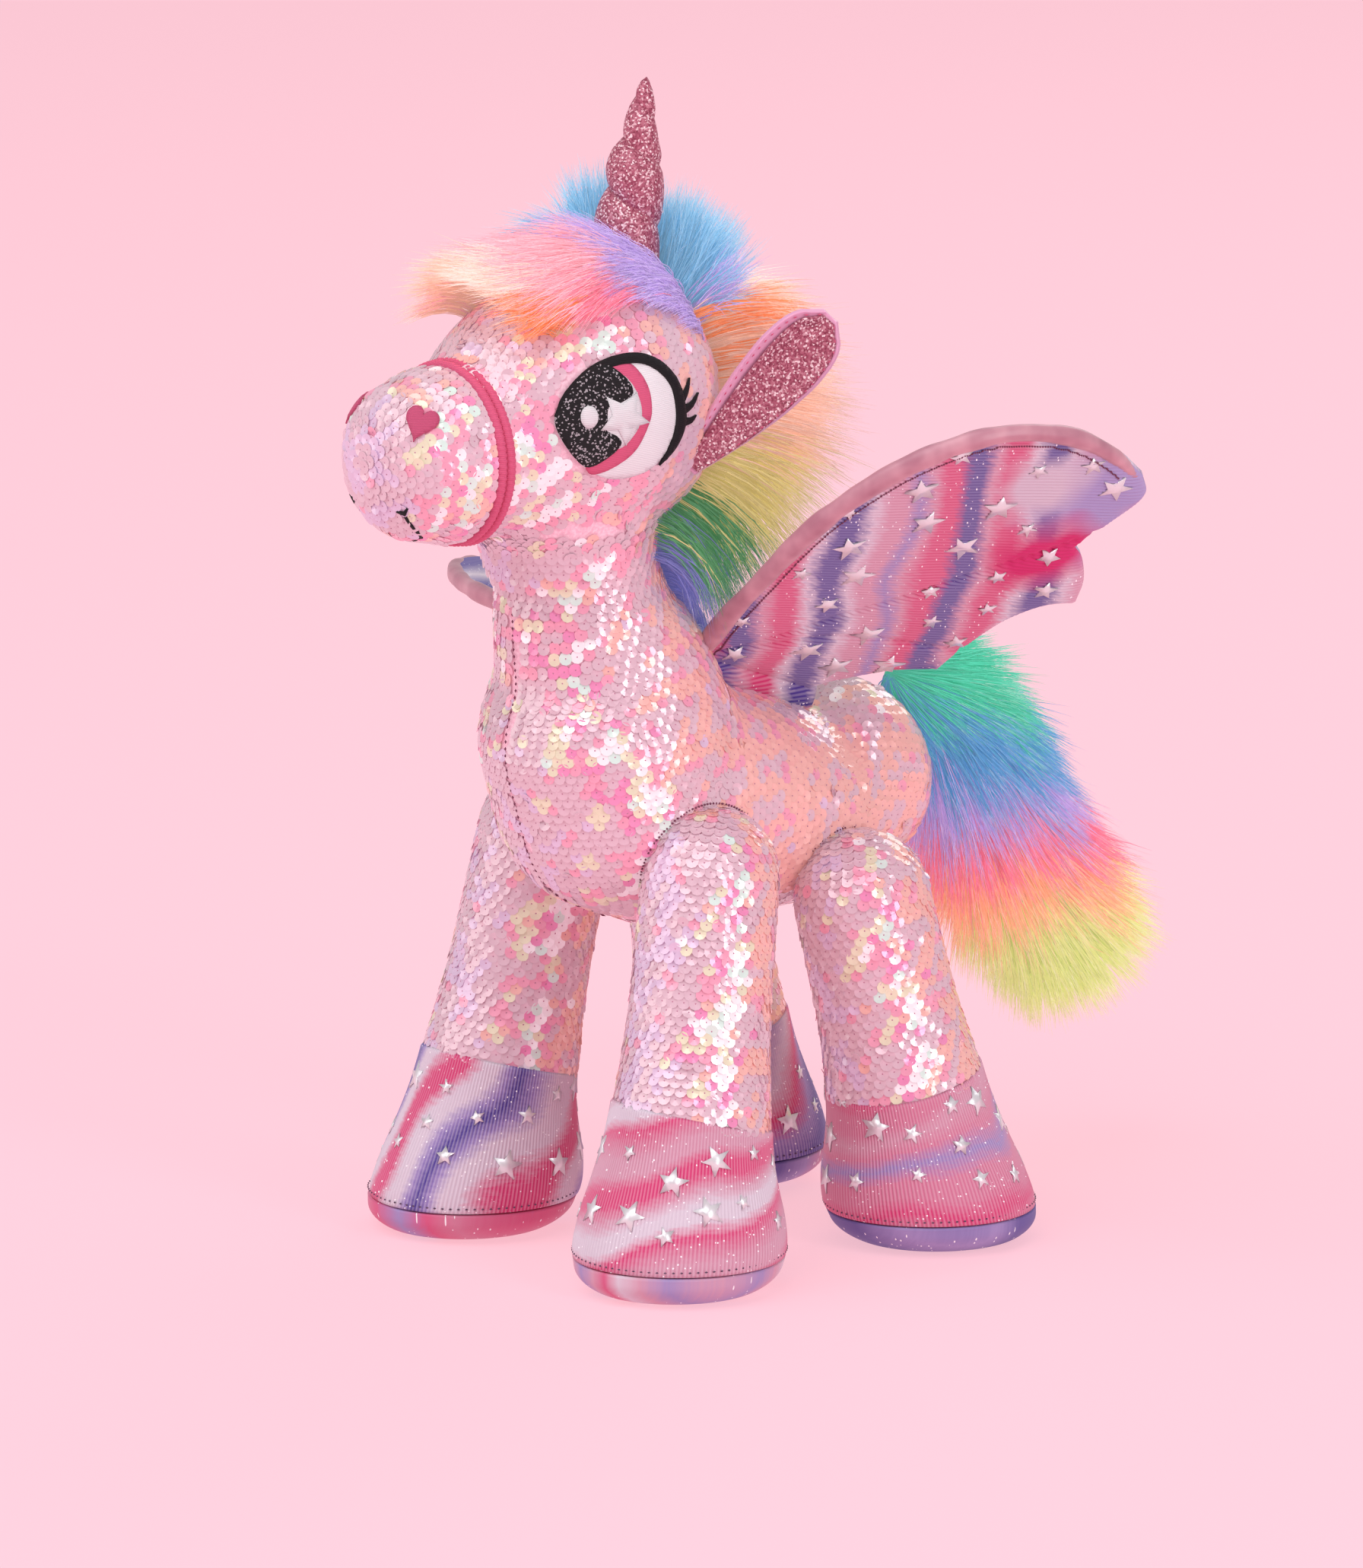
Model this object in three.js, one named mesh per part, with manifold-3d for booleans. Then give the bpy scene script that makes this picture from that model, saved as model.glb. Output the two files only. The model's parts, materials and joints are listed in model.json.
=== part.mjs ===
// A plush winged unicorn: sequin skins over fibre stuffing, printed fabric hooves and wings, glitter horn and ears,
// and long-pile fur mane, forelock and tail. Millimetres, +Z up. It faces -Y and its left side is +X. Dimensions are
// measured from the ground point at the middle of its stance; the finished group is then shifted to put the origin at
// the bottom centre of the whole object.
import * as THREE from "three";
import { mergeVertices } from "three/addons/utils/BufferGeometryUtils.js";
import Module from "manifold-3d";

const wasm = await Module();
wasm.setup();

// ---------- driving dimensions ----------
const SKIN = 2; // sequin fabric with its backing
const THIN = 1.2; // printed fabric, satin and embroidery
const GAP = 0.4; // seam allowance left between neighbouring pieces
const FAR = 400; // larger than any piece, for cutting boxes

const LEG = {
  slant: 0.094, // each leg leans in by this much for each millimetre up
  footX: 62,
  footRadius: 30,
  hoofRadius: 38,
  soleTop: 12,
  hoofTop: 60,
  ankleRadius: 28.5,
  shinRadius: 25.5,
  thighRadius: 24.5,
  swing: 12, // degrees fore and aft
};
const FRONT = { footY: -62.5, slope: 0.18, hip: 148, cuffTilt: 14 };
const HIND = { footY: 61.5, slope: -0.21, hip: 130, cuffTilt: -12 };

// Barrel from the rump to the chest, and neck from the chest up into the head: stations with the half width and
// half depth at each.
const BARREL = {
  spine: [[0, 66, 165], [0, 45, 157], [0, 22, 159], [0, 0, 163], [0, -25, 167], [0, -45, 172]],
  across: [35, 40, 43, 45, 47, 45],
  deep: [36, 35, 40, 44, 46, 43],
  caps: [30, 40],
};
const NECKTUBE = {
  spine: [[0, -42, 172], [0, -46, 198], [0, -50, 220], [0, -56, 237], [0, -59, 252], [0, -58, 272]],
  across: [46, 46, 38, 32, 29.5, 26],
  deep: [44, 47, 40, 32.5, 29.5, 26],
  caps: [40, 25],
};

const NECK = { pivot: new THREE.Vector3(0, -58, 274), ball: 12, stem: 8, stemTop: 36, nod: 10, turn: 20 };

// Head: stations from the back of the skull to the noseband.
const HEAD = {
  spine: [[0, -48, 319], [0, -62, 319], [0, -84, 315], [0, -104, 310], [0, -118, 308]],
  across: [46, 47.5, 41, 34, 31],
  deep: [50, 51, 43, 35, 31.5],
  backCap: 40,
};
const MUZZLE = { centre: new THREE.Vector3(0, -126, 308), radius: 33 };
const NOSEBAND = { y: -118, width: 8, radius: 33 };

const EYE = { centre: [43.5, -72, 320], turn: -17, long: 25.5, high: 21.5, tilt: 12 };
const NOSTRIL = { at: [18, -145.5, 327.6], size: 5.5 };
const MOUTH = { halfWidth: 18, top: 296, bottom: 277, line: 1.3 };

const EAR = { base: [43, -38.5, 298], tip: [66, 3, 350.5], facing: [0.82, -0.565, 0.088], halfWidth: 13, flop: 20 };

const HORN = { base: [0, -38, 364], tip: [0, -27, 436], radius: 12, turns: 3.5, wobble: 10 };

const WING = {
  root: [12, -16, 221], // front end of the seam on the left side of the spine
  seam: [0, 0.958, -0.284], // the seam runs back and down along the spine
  batting: 2.4,
  edgeRadius: 3.2,
  flap: 18, // degrees each wing swings up and down from rest
  restLeft: 50,
  restRight: 85,
  sweepRight: 12, // degrees the right wing is swept back in its own plane at rest
};

const TAIL = {
  root: [0, 98, 190], // middle of the ball the tail hangs from
  ball: 7,
  spine: [[0, 116, 180], [0, 128, 156], [0, 140, 124], [0, 163, 92]],
  across: [15, 27, 31, 36],
  deep: [12, 22, 28, 35],
  caps: [9, 36],
};

// ---------- materials ----------
const finish = (color, roughness, metalness = 0) => new THREE.MeshStandardMaterial({ color, roughness, metalness });
const sequin = finish(0xf3b3cb, 0.28, 0.25);
const print = finish(0xcf9fd0, 0.6);
const satin = finish(0xd795a6, 0.35);
const glitter = finish(0xc9607e, 0.5, 0.3);
const stuffing = finish(0xf7f5f2, 0.95);
const embroidery = finish(0xf2f2f4, 0.7);
const ribbon = finish(0xe8507f, 0.45);
const blackThread = finish(0x141414, 0.7);
const fur = (color) => finish(color, 0.9);

// ---------- solids ----------
const manifolds = {
  // A closed geometry as a solid for cutting and joining.
  of(geometry) {
    const bare = geometry.clone();
    bare.deleteAttribute("normal");
    bare.deleteAttribute("uv");
    const merged = mergeVertices(bare, 1e-4);
    return new wasm.Manifold(
      new wasm.Mesh({
        numProp: 3,
        vertProperties: new Float32Array(merged.attributes.position.array),
        triVerts: new Uint32Array(merged.index.array),
      }),
    );
  },
  geometry(solid) {
    const mesh = solid.getMesh();
    const geometry = new THREE.BufferGeometry();
    geometry.setAttribute("position", new THREE.BufferAttribute(mesh.vertProperties, 3));
    geometry.setIndex(new THREE.BufferAttribute(mesh.triVerts, 1));
    geometry.computeVertexNormals();
    return geometry;
  },
};

const box = (low, high) =>
  manifolds.of(
    new THREE.BoxGeometry(high[0] - low[0], high[1] - low[1], high[2] - low[2]).translate(
      (low[0] + high[0]) / 2,
      (low[1] + high[1]) / 2,
      (low[2] + high[2]) / 2,
    ),
  );

const ball = (centre, radius, sides = 20) =>
  manifolds.of(new THREE.SphereGeometry(radius, sides, sides / 2).translate(centre.x, centre.y, centre.z));

// A smooth run of numbers through evenly spaced stations, read at t from 0 to 1.
function smooth(values) {
  const curve = new THREE.CatmullRomCurve3(values.map((v, i) => new THREE.Vector3(i, v, 0)));
  return (t) => curve.getPoint(t).y;
}

// A stuffed tube whose spine lies in the middle plane: a capsule bent along the spine, with round ends.
function softTube({ spine, across, deep, caps, inset = 0, sides = 16, rings = 12, capRings = 3 }) {
  const path = new THREE.CatmullRomCurve3(spine.map((p) => new THREE.Vector3(...p)));
  const [wide, high] = [smooth(across), smooth(deep)];
  const length = 2;
  const geometry = new THREE.CapsuleGeometry(1, length, capRings, sides, rings);
  const position = geometry.attributes.position;
  const side = new THREE.Vector3(1, 0, 0);
  for (let i = 0; i < position.count; i++) {
    const along = position.getY(i);
    const straight = THREE.MathUtils.clamp(along, -length / 2, length / 2);
    const t = straight / length + 0.5;
    const beyond = along - straight;
    const tangent = path.getTangent(t).normalize();
    const up = new THREE.Vector3().crossVectors(side, tangent);
    const cap = Math.max((beyond < 0 ? caps[0] : caps[1]) - inset, 0.5);
    const point = path
      .getPoint(t)
      .addScaledVector(tangent, beyond * cap)
      .addScaledVector(side, -position.getX(i) * (wide(t) - inset))
      .addScaledVector(up, position.getZ(i) * (high(t) - inset));
    position.setXYZ(i, point.x, point.y, point.z);
  }
  const solid = manifolds.of(geometry);
  return solid.volume() > 0 ? solid : manifolds.of(flip(geometry));
}

// The same closed surface with its faces turned the other way.
function flip(geometry) {
  const index = geometry.index.array;
  for (let i = 0; i < index.length; i += 3) [index[i + 1], index[i + 2]] = [index[i + 2], index[i + 1]];
  return geometry;
}

// A profile of [radius, height] points turned round the Z axis; it starts and ends on the axis.
const turned = (profile, sides) =>
  new THREE.LatheGeometry(profile.map(([r, z]) => new THREE.Vector2(r, z)), sides).rotateX(Math.PI / 2);

const radians = THREE.MathUtils.degToRad;

// Everything a solid passes through while it turns about an axis through a pivot.
function swept(solid, pivot, axis, angles) {
  const home = new THREE.Matrix4().makeTranslation(pivot);
  const away = home.clone().invert();
  return angles
    .map((a) => new THREE.Matrix4().makeRotationAxis(axis, radians(a)).premultiply(home).multiply(away))
    .map((m) => solid.transform(m.elements))
    .reduce((all, one) => all.add(one));
}

const X = new THREE.Vector3(1, 0, 0);
const steps = (limit, count = 4) => Array.from({ length: count * 2 + 1 }, (_, i) => (limit * (i - count)) / count);

const unicorn = new THREE.Group();

// Adds a solid or a geometry as one named mesh.
function add(name, shape, material, parent = unicorn) {
  const mesh = new THREE.Mesh(shape.isBufferGeometry ? shape : manifolds.geometry(shape), material);
  mesh.name = name;
  parent.add(mesh);
  return mesh;
}

// ---------- legs ----------
// One whole leg, sole to hip dome, set in by a distance all round.
function legSolid(corner, side, inset, sides = 12) {
  const { footRadius, hoofRadius, soleTop, hoofTop, ankleRadius, shinRadius, thighRadius } = LEG;
  const dome = Array.from({ length: 6 }, (_, i) => {
    const a = (i / 5) * (Math.PI / 2);
    return [(thighRadius - inset) * Math.cos(a), corner.hip + (thighRadius - inset) * Math.sin(a)];
  });
  dome[dome.length - 1][0] = 0;
  const profile = [
    [0, Math.max(inset, 0)],
    [footRadius - inset, Math.max(inset, 0)],
    [hoofRadius - 2 - inset, soleTop / 2.2 + inset * 0.4],
    [hoofRadius - inset, soleTop + 2],
    [hoofRadius - 2 - inset, 28],
    [ankleRadius + 2.2 - inset, hoofTop - 10],
    [ankleRadius - inset, hoofTop + 2],
    [shinRadius - inset, 95],
    ...dome,
  ];
  const lean = new THREE.Matrix4().makeShear(0, 0, 0, 0, -side * LEG.slant, corner.slope);
  const place = new THREE.Matrix4().makeTranslation(side * LEG.footX, corner.footY, 0);
  return manifolds.of(turned(profile, sides).applyMatrix4(lean).applyMatrix4(place));
}

const hipOf = (corner, side) =>
  new THREE.Vector3(
    side * (LEG.footX - LEG.slant * corner.hip),
    corner.footY + corner.slope * corner.hip,
    corner.hip,
  );

// The room a thigh needs in the body: wider fore and aft below the hip, by as much as the leg swings there.
function legRoomSolid(corner, side) {
  const r = LEG.thighRadius + 1.8;
  const profile = [
    [0, -70],
    [r, -70],
    [r, 0],
    [r * 0.87, r * 0.5],
    [r * 0.5, r * 0.87],
    [0, r],
  ];
  const geometry = turned(profile, 14);
  const position = geometry.attributes.position;
  for (let i = 0; i < position.count; i++) {
    const z = position.getZ(i);
    const spread = 1 + (Math.max(-z, 0) * Math.tan(radians(LEG.swing))) / r;
    position.setX(i, position.getX(i) - side * LEG.slant * z);
    position.setY(i, position.getY(i) * spread + corner.slope * z);
  }
  const hip = hipOf(corner, side);
  return manifolds.of(geometry.translate(hip.x, hip.y, hip.z));
}

// A thick plate, tilted about X, that divides the leg wall at the cuff.
function cuffCut(corner, side, above) {
  const at = new THREE.Matrix4()
    .makeTranslation(side * LEG.footX, corner.footY + corner.slope * LEG.hoofTop, LEG.hoofTop)
    .multiply(new THREE.Matrix4().makeRotationX(radians(-corner.cuffTilt)));
  return (above ? box([-FAR, -FAR, GAP / 2], [FAR, FAR, FAR]) : box([-FAR, -FAR, -FAR], [FAR, FAR, -GAP / 2])).transform(
    at.elements,
  );
}

function addLeg(label, corner, side) {
  const wall = legSolid(corner, side, 0).subtract(legSolid(corner, side, SKIN));
  const { soleTop } = LEG;
  add(`sole_${label}`, wall.intersect(box([-FAR, -FAR, -1], [FAR, FAR, soleTop - GAP / 2])), print);
  const aboveSole = wall.intersect(box([-FAR, -FAR, soleTop + GAP / 2], [FAR, FAR, FAR]));
  add(`hoof_${label}`, aboveSole.intersect(cuffCut(corner, side, false)), print);
  add(`leg_skin_${label}`, aboveSole.intersect(cuffCut(corner, side, true)), sequin);
  add(`leg_stuffing_${label}`, legSolid(corner, side, SKIN + GAP), stuffing);
}

const corners = [
  ["front_left", FRONT, 1],
  ["front_right", FRONT, -1],
  ["hind_left", HIND, 1],
  ["hind_right", HIND, -1],
];
for (const [label, corner, side] of corners) addLeg(label, corner, side);

// ---------- head ----------
const headSolid = (inset) =>
  softTube({ ...HEAD, caps: [HEAD.backCap, 2], inset, rings: 6 }).intersect(
    box([-FAR, NOSEBAND.y + GAP + inset, -FAR], [FAR, FAR, FAR]),
  );
const neckRadius = NECKTUBE.across.at(-1);
const pocket = ball(NECK.pivot, neckRadius + 1);
const stemHole = (extra) =>
  manifolds.of(
    new THREE.CylinderGeometry(NECK.stem + extra, NECK.stem + extra, NECK.stemTop + 4, 16)
      .rotateX(Math.PI / 2)
      .translate(0, NECK.pivot.y, NECK.pivot.z + NECK.stemTop / 2),
  );
const headOuter = headSolid(0);
const hornPivot = new THREE.Vector3(...HORN.base);
const hornPocket = ball(hornPivot, HORN.radius + 1, 16);

// ---------- torso and neck ----------
const legRoom = corners.map(([, corner, side]) => legRoomSolid(corner, side)).reduce((all, one) => all.add(one));
const headRoom = swept(headSolid(-1.2), NECK.pivot, X, steps(NECK.nod, 1)).subtract(ball(NECK.pivot, neckRadius + 0.3));
const plugRoom = ball(NECK.pivot, NECK.ball + 0.6, 16).add(
  manifolds.of(
    new THREE.CylinderGeometry(NECK.stem + 10, NECK.stem + 2, 34, 16)
      .rotateX(Math.PI / 2)
      .translate(0, NECK.pivot.y, NECK.pivot.z + 17),
  ),
);
const bodySolid = (inset) =>
  softTube({ ...BARREL, inset, sides: 14, rings: 6 }).add(softTube({ ...NECKTUBE, inset, sides: 14, rings: 6 }));
const torsoRoom = legRoom.add(headRoom).add(plugRoom);
const torsoWall = bodySolid(0).subtract(bodySolid(SKIN)).subtract(torsoRoom);
const half = (side) => (side > 0 ? box([GAP / 2, -FAR, -FAR], [FAR, FAR, FAR]) : box([-FAR, -FAR, -FAR], [-GAP / 2, FAR, FAR]));

// The one largest piece of a solid, so that slivers left by a cut are dropped.
const largest = (solid) => solid.decompose().reduce((a, b) => (a.volume() > b.volume() ? a : b));

add("torso_side_left", largest(torsoWall.intersect(half(1))), sequin);
add("torso_side_right", largest(torsoWall.intersect(half(-1))), sequin);
add("torso_stuffing", largest(bodySolid(SKIN + GAP).subtract(torsoRoom)), stuffing);

const plugProfile = [
  [0, -NECK.ball],
  [NECK.ball * 0.5, -NECK.ball * 0.87],
  [NECK.ball * 0.87, -NECK.ball * 0.5],
  [NECK.ball, 0],
  [NECK.ball * 0.87, NECK.ball * 0.5],
  [NECK.stem, NECK.ball * 0.8],
  [NECK.stem, NECK.stemTop],
  [0, NECK.stemTop],
];
add("neck_plug", turned(plugProfile, 16).translate(NECK.pivot.x, NECK.pivot.y, NECK.pivot.z), stuffing);

// ---------- head pieces ----------
const headWall = headOuter.subtract(headSolid(SKIN)).subtract(pocket).subtract(hornPocket);
add("head_side_left", largest(headWall.intersect(half(1))), sequin);
add("head_side_right", largest(headWall.intersect(half(-1))), sequin);
const stem = stemHole(0.5);
add("head_stuffing", largest(headSolid(SKIN + GAP).subtract(pocket).subtract(stem).subtract(hornPocket)), stuffing);

const muzzleBall = (inset) =>
  ball(MUZZLE.centre, MUZZLE.radius - inset, 18).intersect(box([-FAR, -FAR, -FAR], [FAR, NOSEBAND.y - GAP - inset, FAR]));
const muzzleOuter = muzzleBall(0);
const muzzleBackHole = manifolds.of(
  new THREE.CylinderGeometry(24, 24, 8, 20).translate(0, NOSEBAND.y - 2, MUZZLE.centre.z),
);
add("muzzle_skin", muzzleOuter.subtract(muzzleBall(SKIN)).subtract(muzzleBackHole), sequin);
add("muzzle_stuffing", muzzleBall(SKIN + GAP), stuffing);

const bandProfile = [
  [NOSEBAND.radius + GAP, -NOSEBAND.width / 2],
  [NOSEBAND.radius + GAP + THIN, -NOSEBAND.width / 2],
  [NOSEBAND.radius + GAP + THIN * 1.6, 0],
  [NOSEBAND.radius + GAP + THIN, NOSEBAND.width / 2],
  [NOSEBAND.radius + GAP, NOSEBAND.width / 2],
  [NOSEBAND.radius + GAP, -NOSEBAND.width / 2],
];
const band = turned(bandProfile, 22).rotateX(Math.PI / 2).translate(0, NOSEBAND.y, MUZZLE.centre.z);
const bandRoom = headSolid(-GAP);
add("noseband", manifolds.of(band).subtract(bandRoom), ribbon);

// A patch of embroidery: the stretch of a thin shell round the head or muzzle that an outline cuts out.
const eyeShell = headSolid(-GAP - THIN).subtract(headSolid(-GAP));
const muzzleShell = muzzleBall(-GAP - THIN).subtract(muzzleBall(-GAP));

function addEye(label, side) {
  const oval = new THREE.CylinderGeometry(1, 1, 40, 20)
    .scale(EYE.long, 1, EYE.high)
    .rotateY(radians(EYE.tilt))
    .rotateZ(Math.PI / 2)
    .rotateX(Math.PI / 2);
  const place = new THREE.Matrix4()
    .makeTranslation(side * EYE.centre[0], EYE.centre[1], EYE.centre[2])
    .multiply(new THREE.Matrix4().makeRotationZ(radians(side * EYE.turn)));
  add(`eye_${label}`, largest(manifolds.of(oval.applyMatrix4(place)).intersect(eyeShell)), embroidery);
}
addEye("left", 1);
addEye("right", -1);

function addNostril(label, side) {
  const [x, y, z] = NOSTRIL.at;
  const out = new THREE.Vector3(side * x, y, z).sub(MUZZLE.centre).normalize();
  const oval = new THREE.CylinderGeometry(NOSTRIL.size, NOSTRIL.size, 16, 12);
  oval.applyQuaternion(new THREE.Quaternion().setFromUnitVectors(new THREE.Vector3(0, 1, 0), out));
  oval.translate(side * x, y, z);
  add(`nostril_${label}`, manifolds.of(oval).intersect(muzzleShell), ribbon);
}
addNostril("left", 1);
addNostril("right", -1);

// The mouth is a stitched smile: an upright U of thread, as the front half of an ellipse.
const smile = new THREE.Shape();
smile.absellipse(0, MOUTH.top, MOUTH.halfWidth + MOUTH.line, MOUTH.top - MOUTH.bottom + MOUTH.line, Math.PI, 2 * Math.PI);
smile.absellipse(0, MOUTH.top, MOUTH.halfWidth - MOUTH.line, MOUTH.top - MOUTH.bottom - MOUTH.line, 2 * Math.PI, Math.PI, true);
const smileCut = new THREE.ExtrudeGeometry(smile, { depth: 60, bevelEnabled: false, curveSegments: 8 })
  .rotateX(Math.PI / 2)
  .translate(0, -128, 0);
add("mouth_stitching", largest(manifolds.of(smileCut).intersect(muzzleShell)), blackThread);

// ---------- ears ----------
function addEar(label, side) {
  const base = new THREE.Vector3(side * EAR.base[0], EAR.base[1], EAR.base[2]);
  const along = new THREE.Vector3(side * EAR.tip[0], EAR.tip[1], EAR.tip[2]).sub(base);
  const length = along.length();
  const facing = new THREE.Vector3(side * EAR.facing[0], EAR.facing[1], EAR.facing[2]).normalize();
  along.normalize();
  const acrossEar = new THREE.Vector3().crossVectors(along, facing);
  const leaf = (trim) => {
    const shape = new THREE.Shape();
    const w = EAR.halfWidth - trim;
    shape.moveTo(0, trim);
    shape.bezierCurveTo(w * 0.5, length * 0.2, w * 1.25, length * 0.5, w, length * 0.74);
    shape.bezierCurveTo(w * 0.75, length * 0.97, w * 0.3, length - trim, 0, length - trim);
    shape.bezierCurveTo(-w * 0.3, length - trim, -w * 0.75, length * 0.97, -w, length * 0.74);
    shape.bezierCurveTo(-w * 1.25, length * 0.5, -w * 0.5, length * 0.2, 0, trim);
    return shape;
  };
  const frame = new THREE.Matrix4().makeBasis(acrossEar, along, facing).setPosition(base);
  const plate = (trim, thick, from) =>
    new THREE.ExtrudeGeometry(leaf(trim), { depth: thick, bevelEnabled: false, curveSegments: 5 })
      .translate(0, 2, from)
      .applyMatrix4(frame);
  const upright = (g) => (manifoldVolume(g) > 0 ? g : flip(indexed(g)));
  add(`ear_back_${label}`, upright(plate(0, SKIN, -SKIN - GAP)), sequin);
  add(`ear_lining_${label}`, upright(plate(1.8, THIN, 0)), glitter);
}
const indexed = (geometry) => {
  const bare = geometry.clone();
  bare.deleteAttribute("normal");
  bare.deleteAttribute("uv");
  return mergeVertices(bare, 1e-4);
};
const manifoldVolume = (geometry) => manifolds.of(geometry).volume();
addEar("left", 1);
addEar("right", -1);

// ---------- horn ----------
const horn = new THREE.Group();
horn.position.set(...HORN.base);
const hornLength = Math.hypot(HORN.tip[1] - HORN.base[1], HORN.tip[2] - HORN.base[2]);
horn.rotation.x = -Math.atan2(HORN.tip[1] - HORN.base[1], HORN.tip[2] - HORN.base[2]);
unicorn.add(horn);
const hornLine = [
  [HORN.radius, 0],
  [HORN.radius * 0.55, hornLength * 0.5],
  [HORN.radius * 0.14, hornLength - 3],
];
const hornWall = [
  ...hornLine,
  [0, hornLength],
  [0, hornLength - 9],
  ...hornLine.map(([r, z]) => [Math.max(r - THIN, 0.3), z > hornLength * 0.9 ? z - 6 : z]).reverse(),
  hornLine[0],
];
const hornFill = [
  [0, -HORN.radius + THIN + GAP],
  [HORN.radius * 0.6, -HORN.radius * 0.64],
  [HORN.radius - THIN - GAP, 0],
  [HORN.radius * 0.55 - THIN - GAP, hornLength * 0.5],
  [0.8, hornLength - 13],
  [0, hornLength - 12],
];
add("horn_skin", turned(hornWall, 16), glitter, horn);
add("horn_stuffing", turned(hornFill, 16), stuffing, horn);
class HornThread extends THREE.Curve {
  getPoint(t) {
    const z = 3 + t * (hornLength - 14);
    const lower = Math.min(z / (hornLength * 0.5), 1);
    const upper = Math.max((z - hornLength * 0.5) / (hornLength * 0.5 - 3), 0);
    const r = HORN.radius * (1 - 0.45 * lower - 0.43 * upper) + 1.5;
    const a = t * HORN.turns * 2 * Math.PI;
    return new THREE.Vector3(r * Math.cos(a), r * Math.sin(a), z);
  }
}
const threadSection = new THREE.Shape().absarc(0, 0, 0.6, 0, 2 * Math.PI);
add(
  "horn_thread",
  new THREE.ExtrudeGeometry(threadSection, { steps: 36, curveSegments: 2, extrudePath: new HornThread() }),
  glitter,
  horn,
);

// ---------- wings ----------
// The wing's outline in its own plane: s runs back along the seam, h runs out from it.
function wingOutline() {
  const shape = new THREE.Shape();
  shape.moveTo(2, 3);
  shape.splineThru([[-14, 44], [-24, 95], [-20, 130], [8, 172], [45, 179], [82, 170]].map((p) => new THREE.Vector2(...p)));
  shape.bezierCurveTo(96, 164, 92, 140, 91, 118);
  shape.quadraticCurveTo(103, 108, 116, 84);
  shape.quadraticCurveTo(90, 76, 98, 30);
  shape.quadraticCurveTo(80, 26, 66, 6);
  shape.closePath();
  return shape;
}
const leadingEdge = [[-2, 8], [-15, 44], [-25, 95], [-21, 130], [7, 173.5], [45, 181], [74, 175]];

function addWing(label, side, rest, sweep) {
  const root = new THREE.Vector3(side * WING.root[0], WING.root[1], WING.root[2]);
  const seam = new THREE.Vector3(...WING.seam).normalize();
  const upright = new THREE.Vector3().crossVectors(X, seam).normalize();
  const out = new THREE.Vector3(side, 0, 0)
    .multiplyScalar(Math.sin(radians(rest)))
    .addScaledVector(upright, Math.cos(radians(rest)));
  const normal = new THREE.Vector3().crossVectors(seam, out).normalize();
  const frame = new THREE.Matrix4().makeBasis(seam, out, normal).setPosition(root);
  frame.multiply(new THREE.Matrix4().makeRotationZ(radians(-sweep)));
  const panel = (thick, from) =>
    indexed(new THREE.ExtrudeGeometry(wingOutline(), { depth: thick, bevelEnabled: false, curveSegments: 3 }))
      .translate(0, 0, from)
      .applyMatrix4(frame);
  // The printed side faces down and out, which is +normal on the left wing and -normal on the right.
  const half = WING.batting / 2;
  const print0 = side > 0 ? half + GAP : -half - GAP - THIN;
  const satin0 = side > 0 ? -half - GAP - THIN : half + GAP;
  const edge = new THREE.CatmullRomCurve3(leadingEdge.map(([s, h]) => new THREE.Vector3(s, h, 0)));
  const roll = new THREE.Shape().absarc(0, 0, WING.edgeRadius, 0, 2 * Math.PI);
  const binding = manifolds.of(
    indexed(new THREE.ExtrudeGeometry(roll, { steps: 14, curveSegments: 4, extrudePath: edge })).applyMatrix4(frame),
  );
  const bodyRoom = swept(bodySolid(-1.2), root, seam, steps(WING.flap, 2));
  const wider = manifolds.of(
    indexed(new THREE.ExtrudeGeometry(roll2, { steps: 14, curveSegments: 4, extrudePath: edge })).applyMatrix4(frame),
  );
  const trimmed = (g) => largest(manifolds.of(g).subtract(wider).subtract(bodyRoom));
  add(`wing_print_${label}`, trimmed(panel(THIN, print0)), print);
  add(`wing_batting_${label}`, trimmed(panel(WING.batting, -half)), stuffing);
  add(`wing_satin_${label}`, trimmed(panel(THIN, satin0)), satin);
  add(`wing_edge_${label}`, largest(binding.subtract(bodyRoom)), satin);
}
const roll2 = new THREE.Shape().absarc(0, 0, WING.edgeRadius + GAP, 0, 2 * Math.PI);
addWing("left", 1, WING.restLeft, 0);
addWing("right", -1, WING.restRight, WING.sweepRight);

// ---------- fur ----------
const hornSweep = swept(
  manifolds.of(
    new THREE.CylinderGeometry(9, HORN.radius + 3.5, 50, 14).translate(0, 25, 0).rotateX(Math.PI / 2 + horn.rotation.x)
      .translate(...HORN.base),
  ),
  hornPivot,
  X,
  steps(HORN.wobble, 1),
);
const headClear = headSolid(-0.8).add(hornSweep).add(hornPocket);
const furMass = (spec) => softTube({ sides: 14, rings: 7, capRings: 3, ...spec });

const forelock = furMass({
  spine: [[0, -60, 373], [0, -84, 378], [0, -108, 375], [0, -128, 365]],
  across: [30, 30, 24, 12],
  deep: [10, 12, 10, 6],
  caps: [8, 8],
}).subtract(headClear);
add("forelock_fur", largest(forelock), fur(0xf2b48c));

const maneUpper = furMass({
  spine: [[0, -16, 373], [0, 4, 358], [0, 16, 334], [0, 20, 308]],
  across: [32, 38, 38, 28],
  deep: [12, 20, 25, 18],
  caps: [10, 16],
}).subtract(headClear);
add("mane_upper_fur", largest(maneUpper), fur(0xf0a58a));

const maneLower = furMass({
  spine: [[0, -26, 258], [0, -12, 246], [0, -8, 236]],
  across: [14, 15, 12],
  deep: [9, 12, 10],
  caps: [6, 8],
  rings: 4,
}).subtract(bodySolid(-0.8));
add("mane_lower_fur", largest(maneLower), fur(0x9fb4e0));

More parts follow.
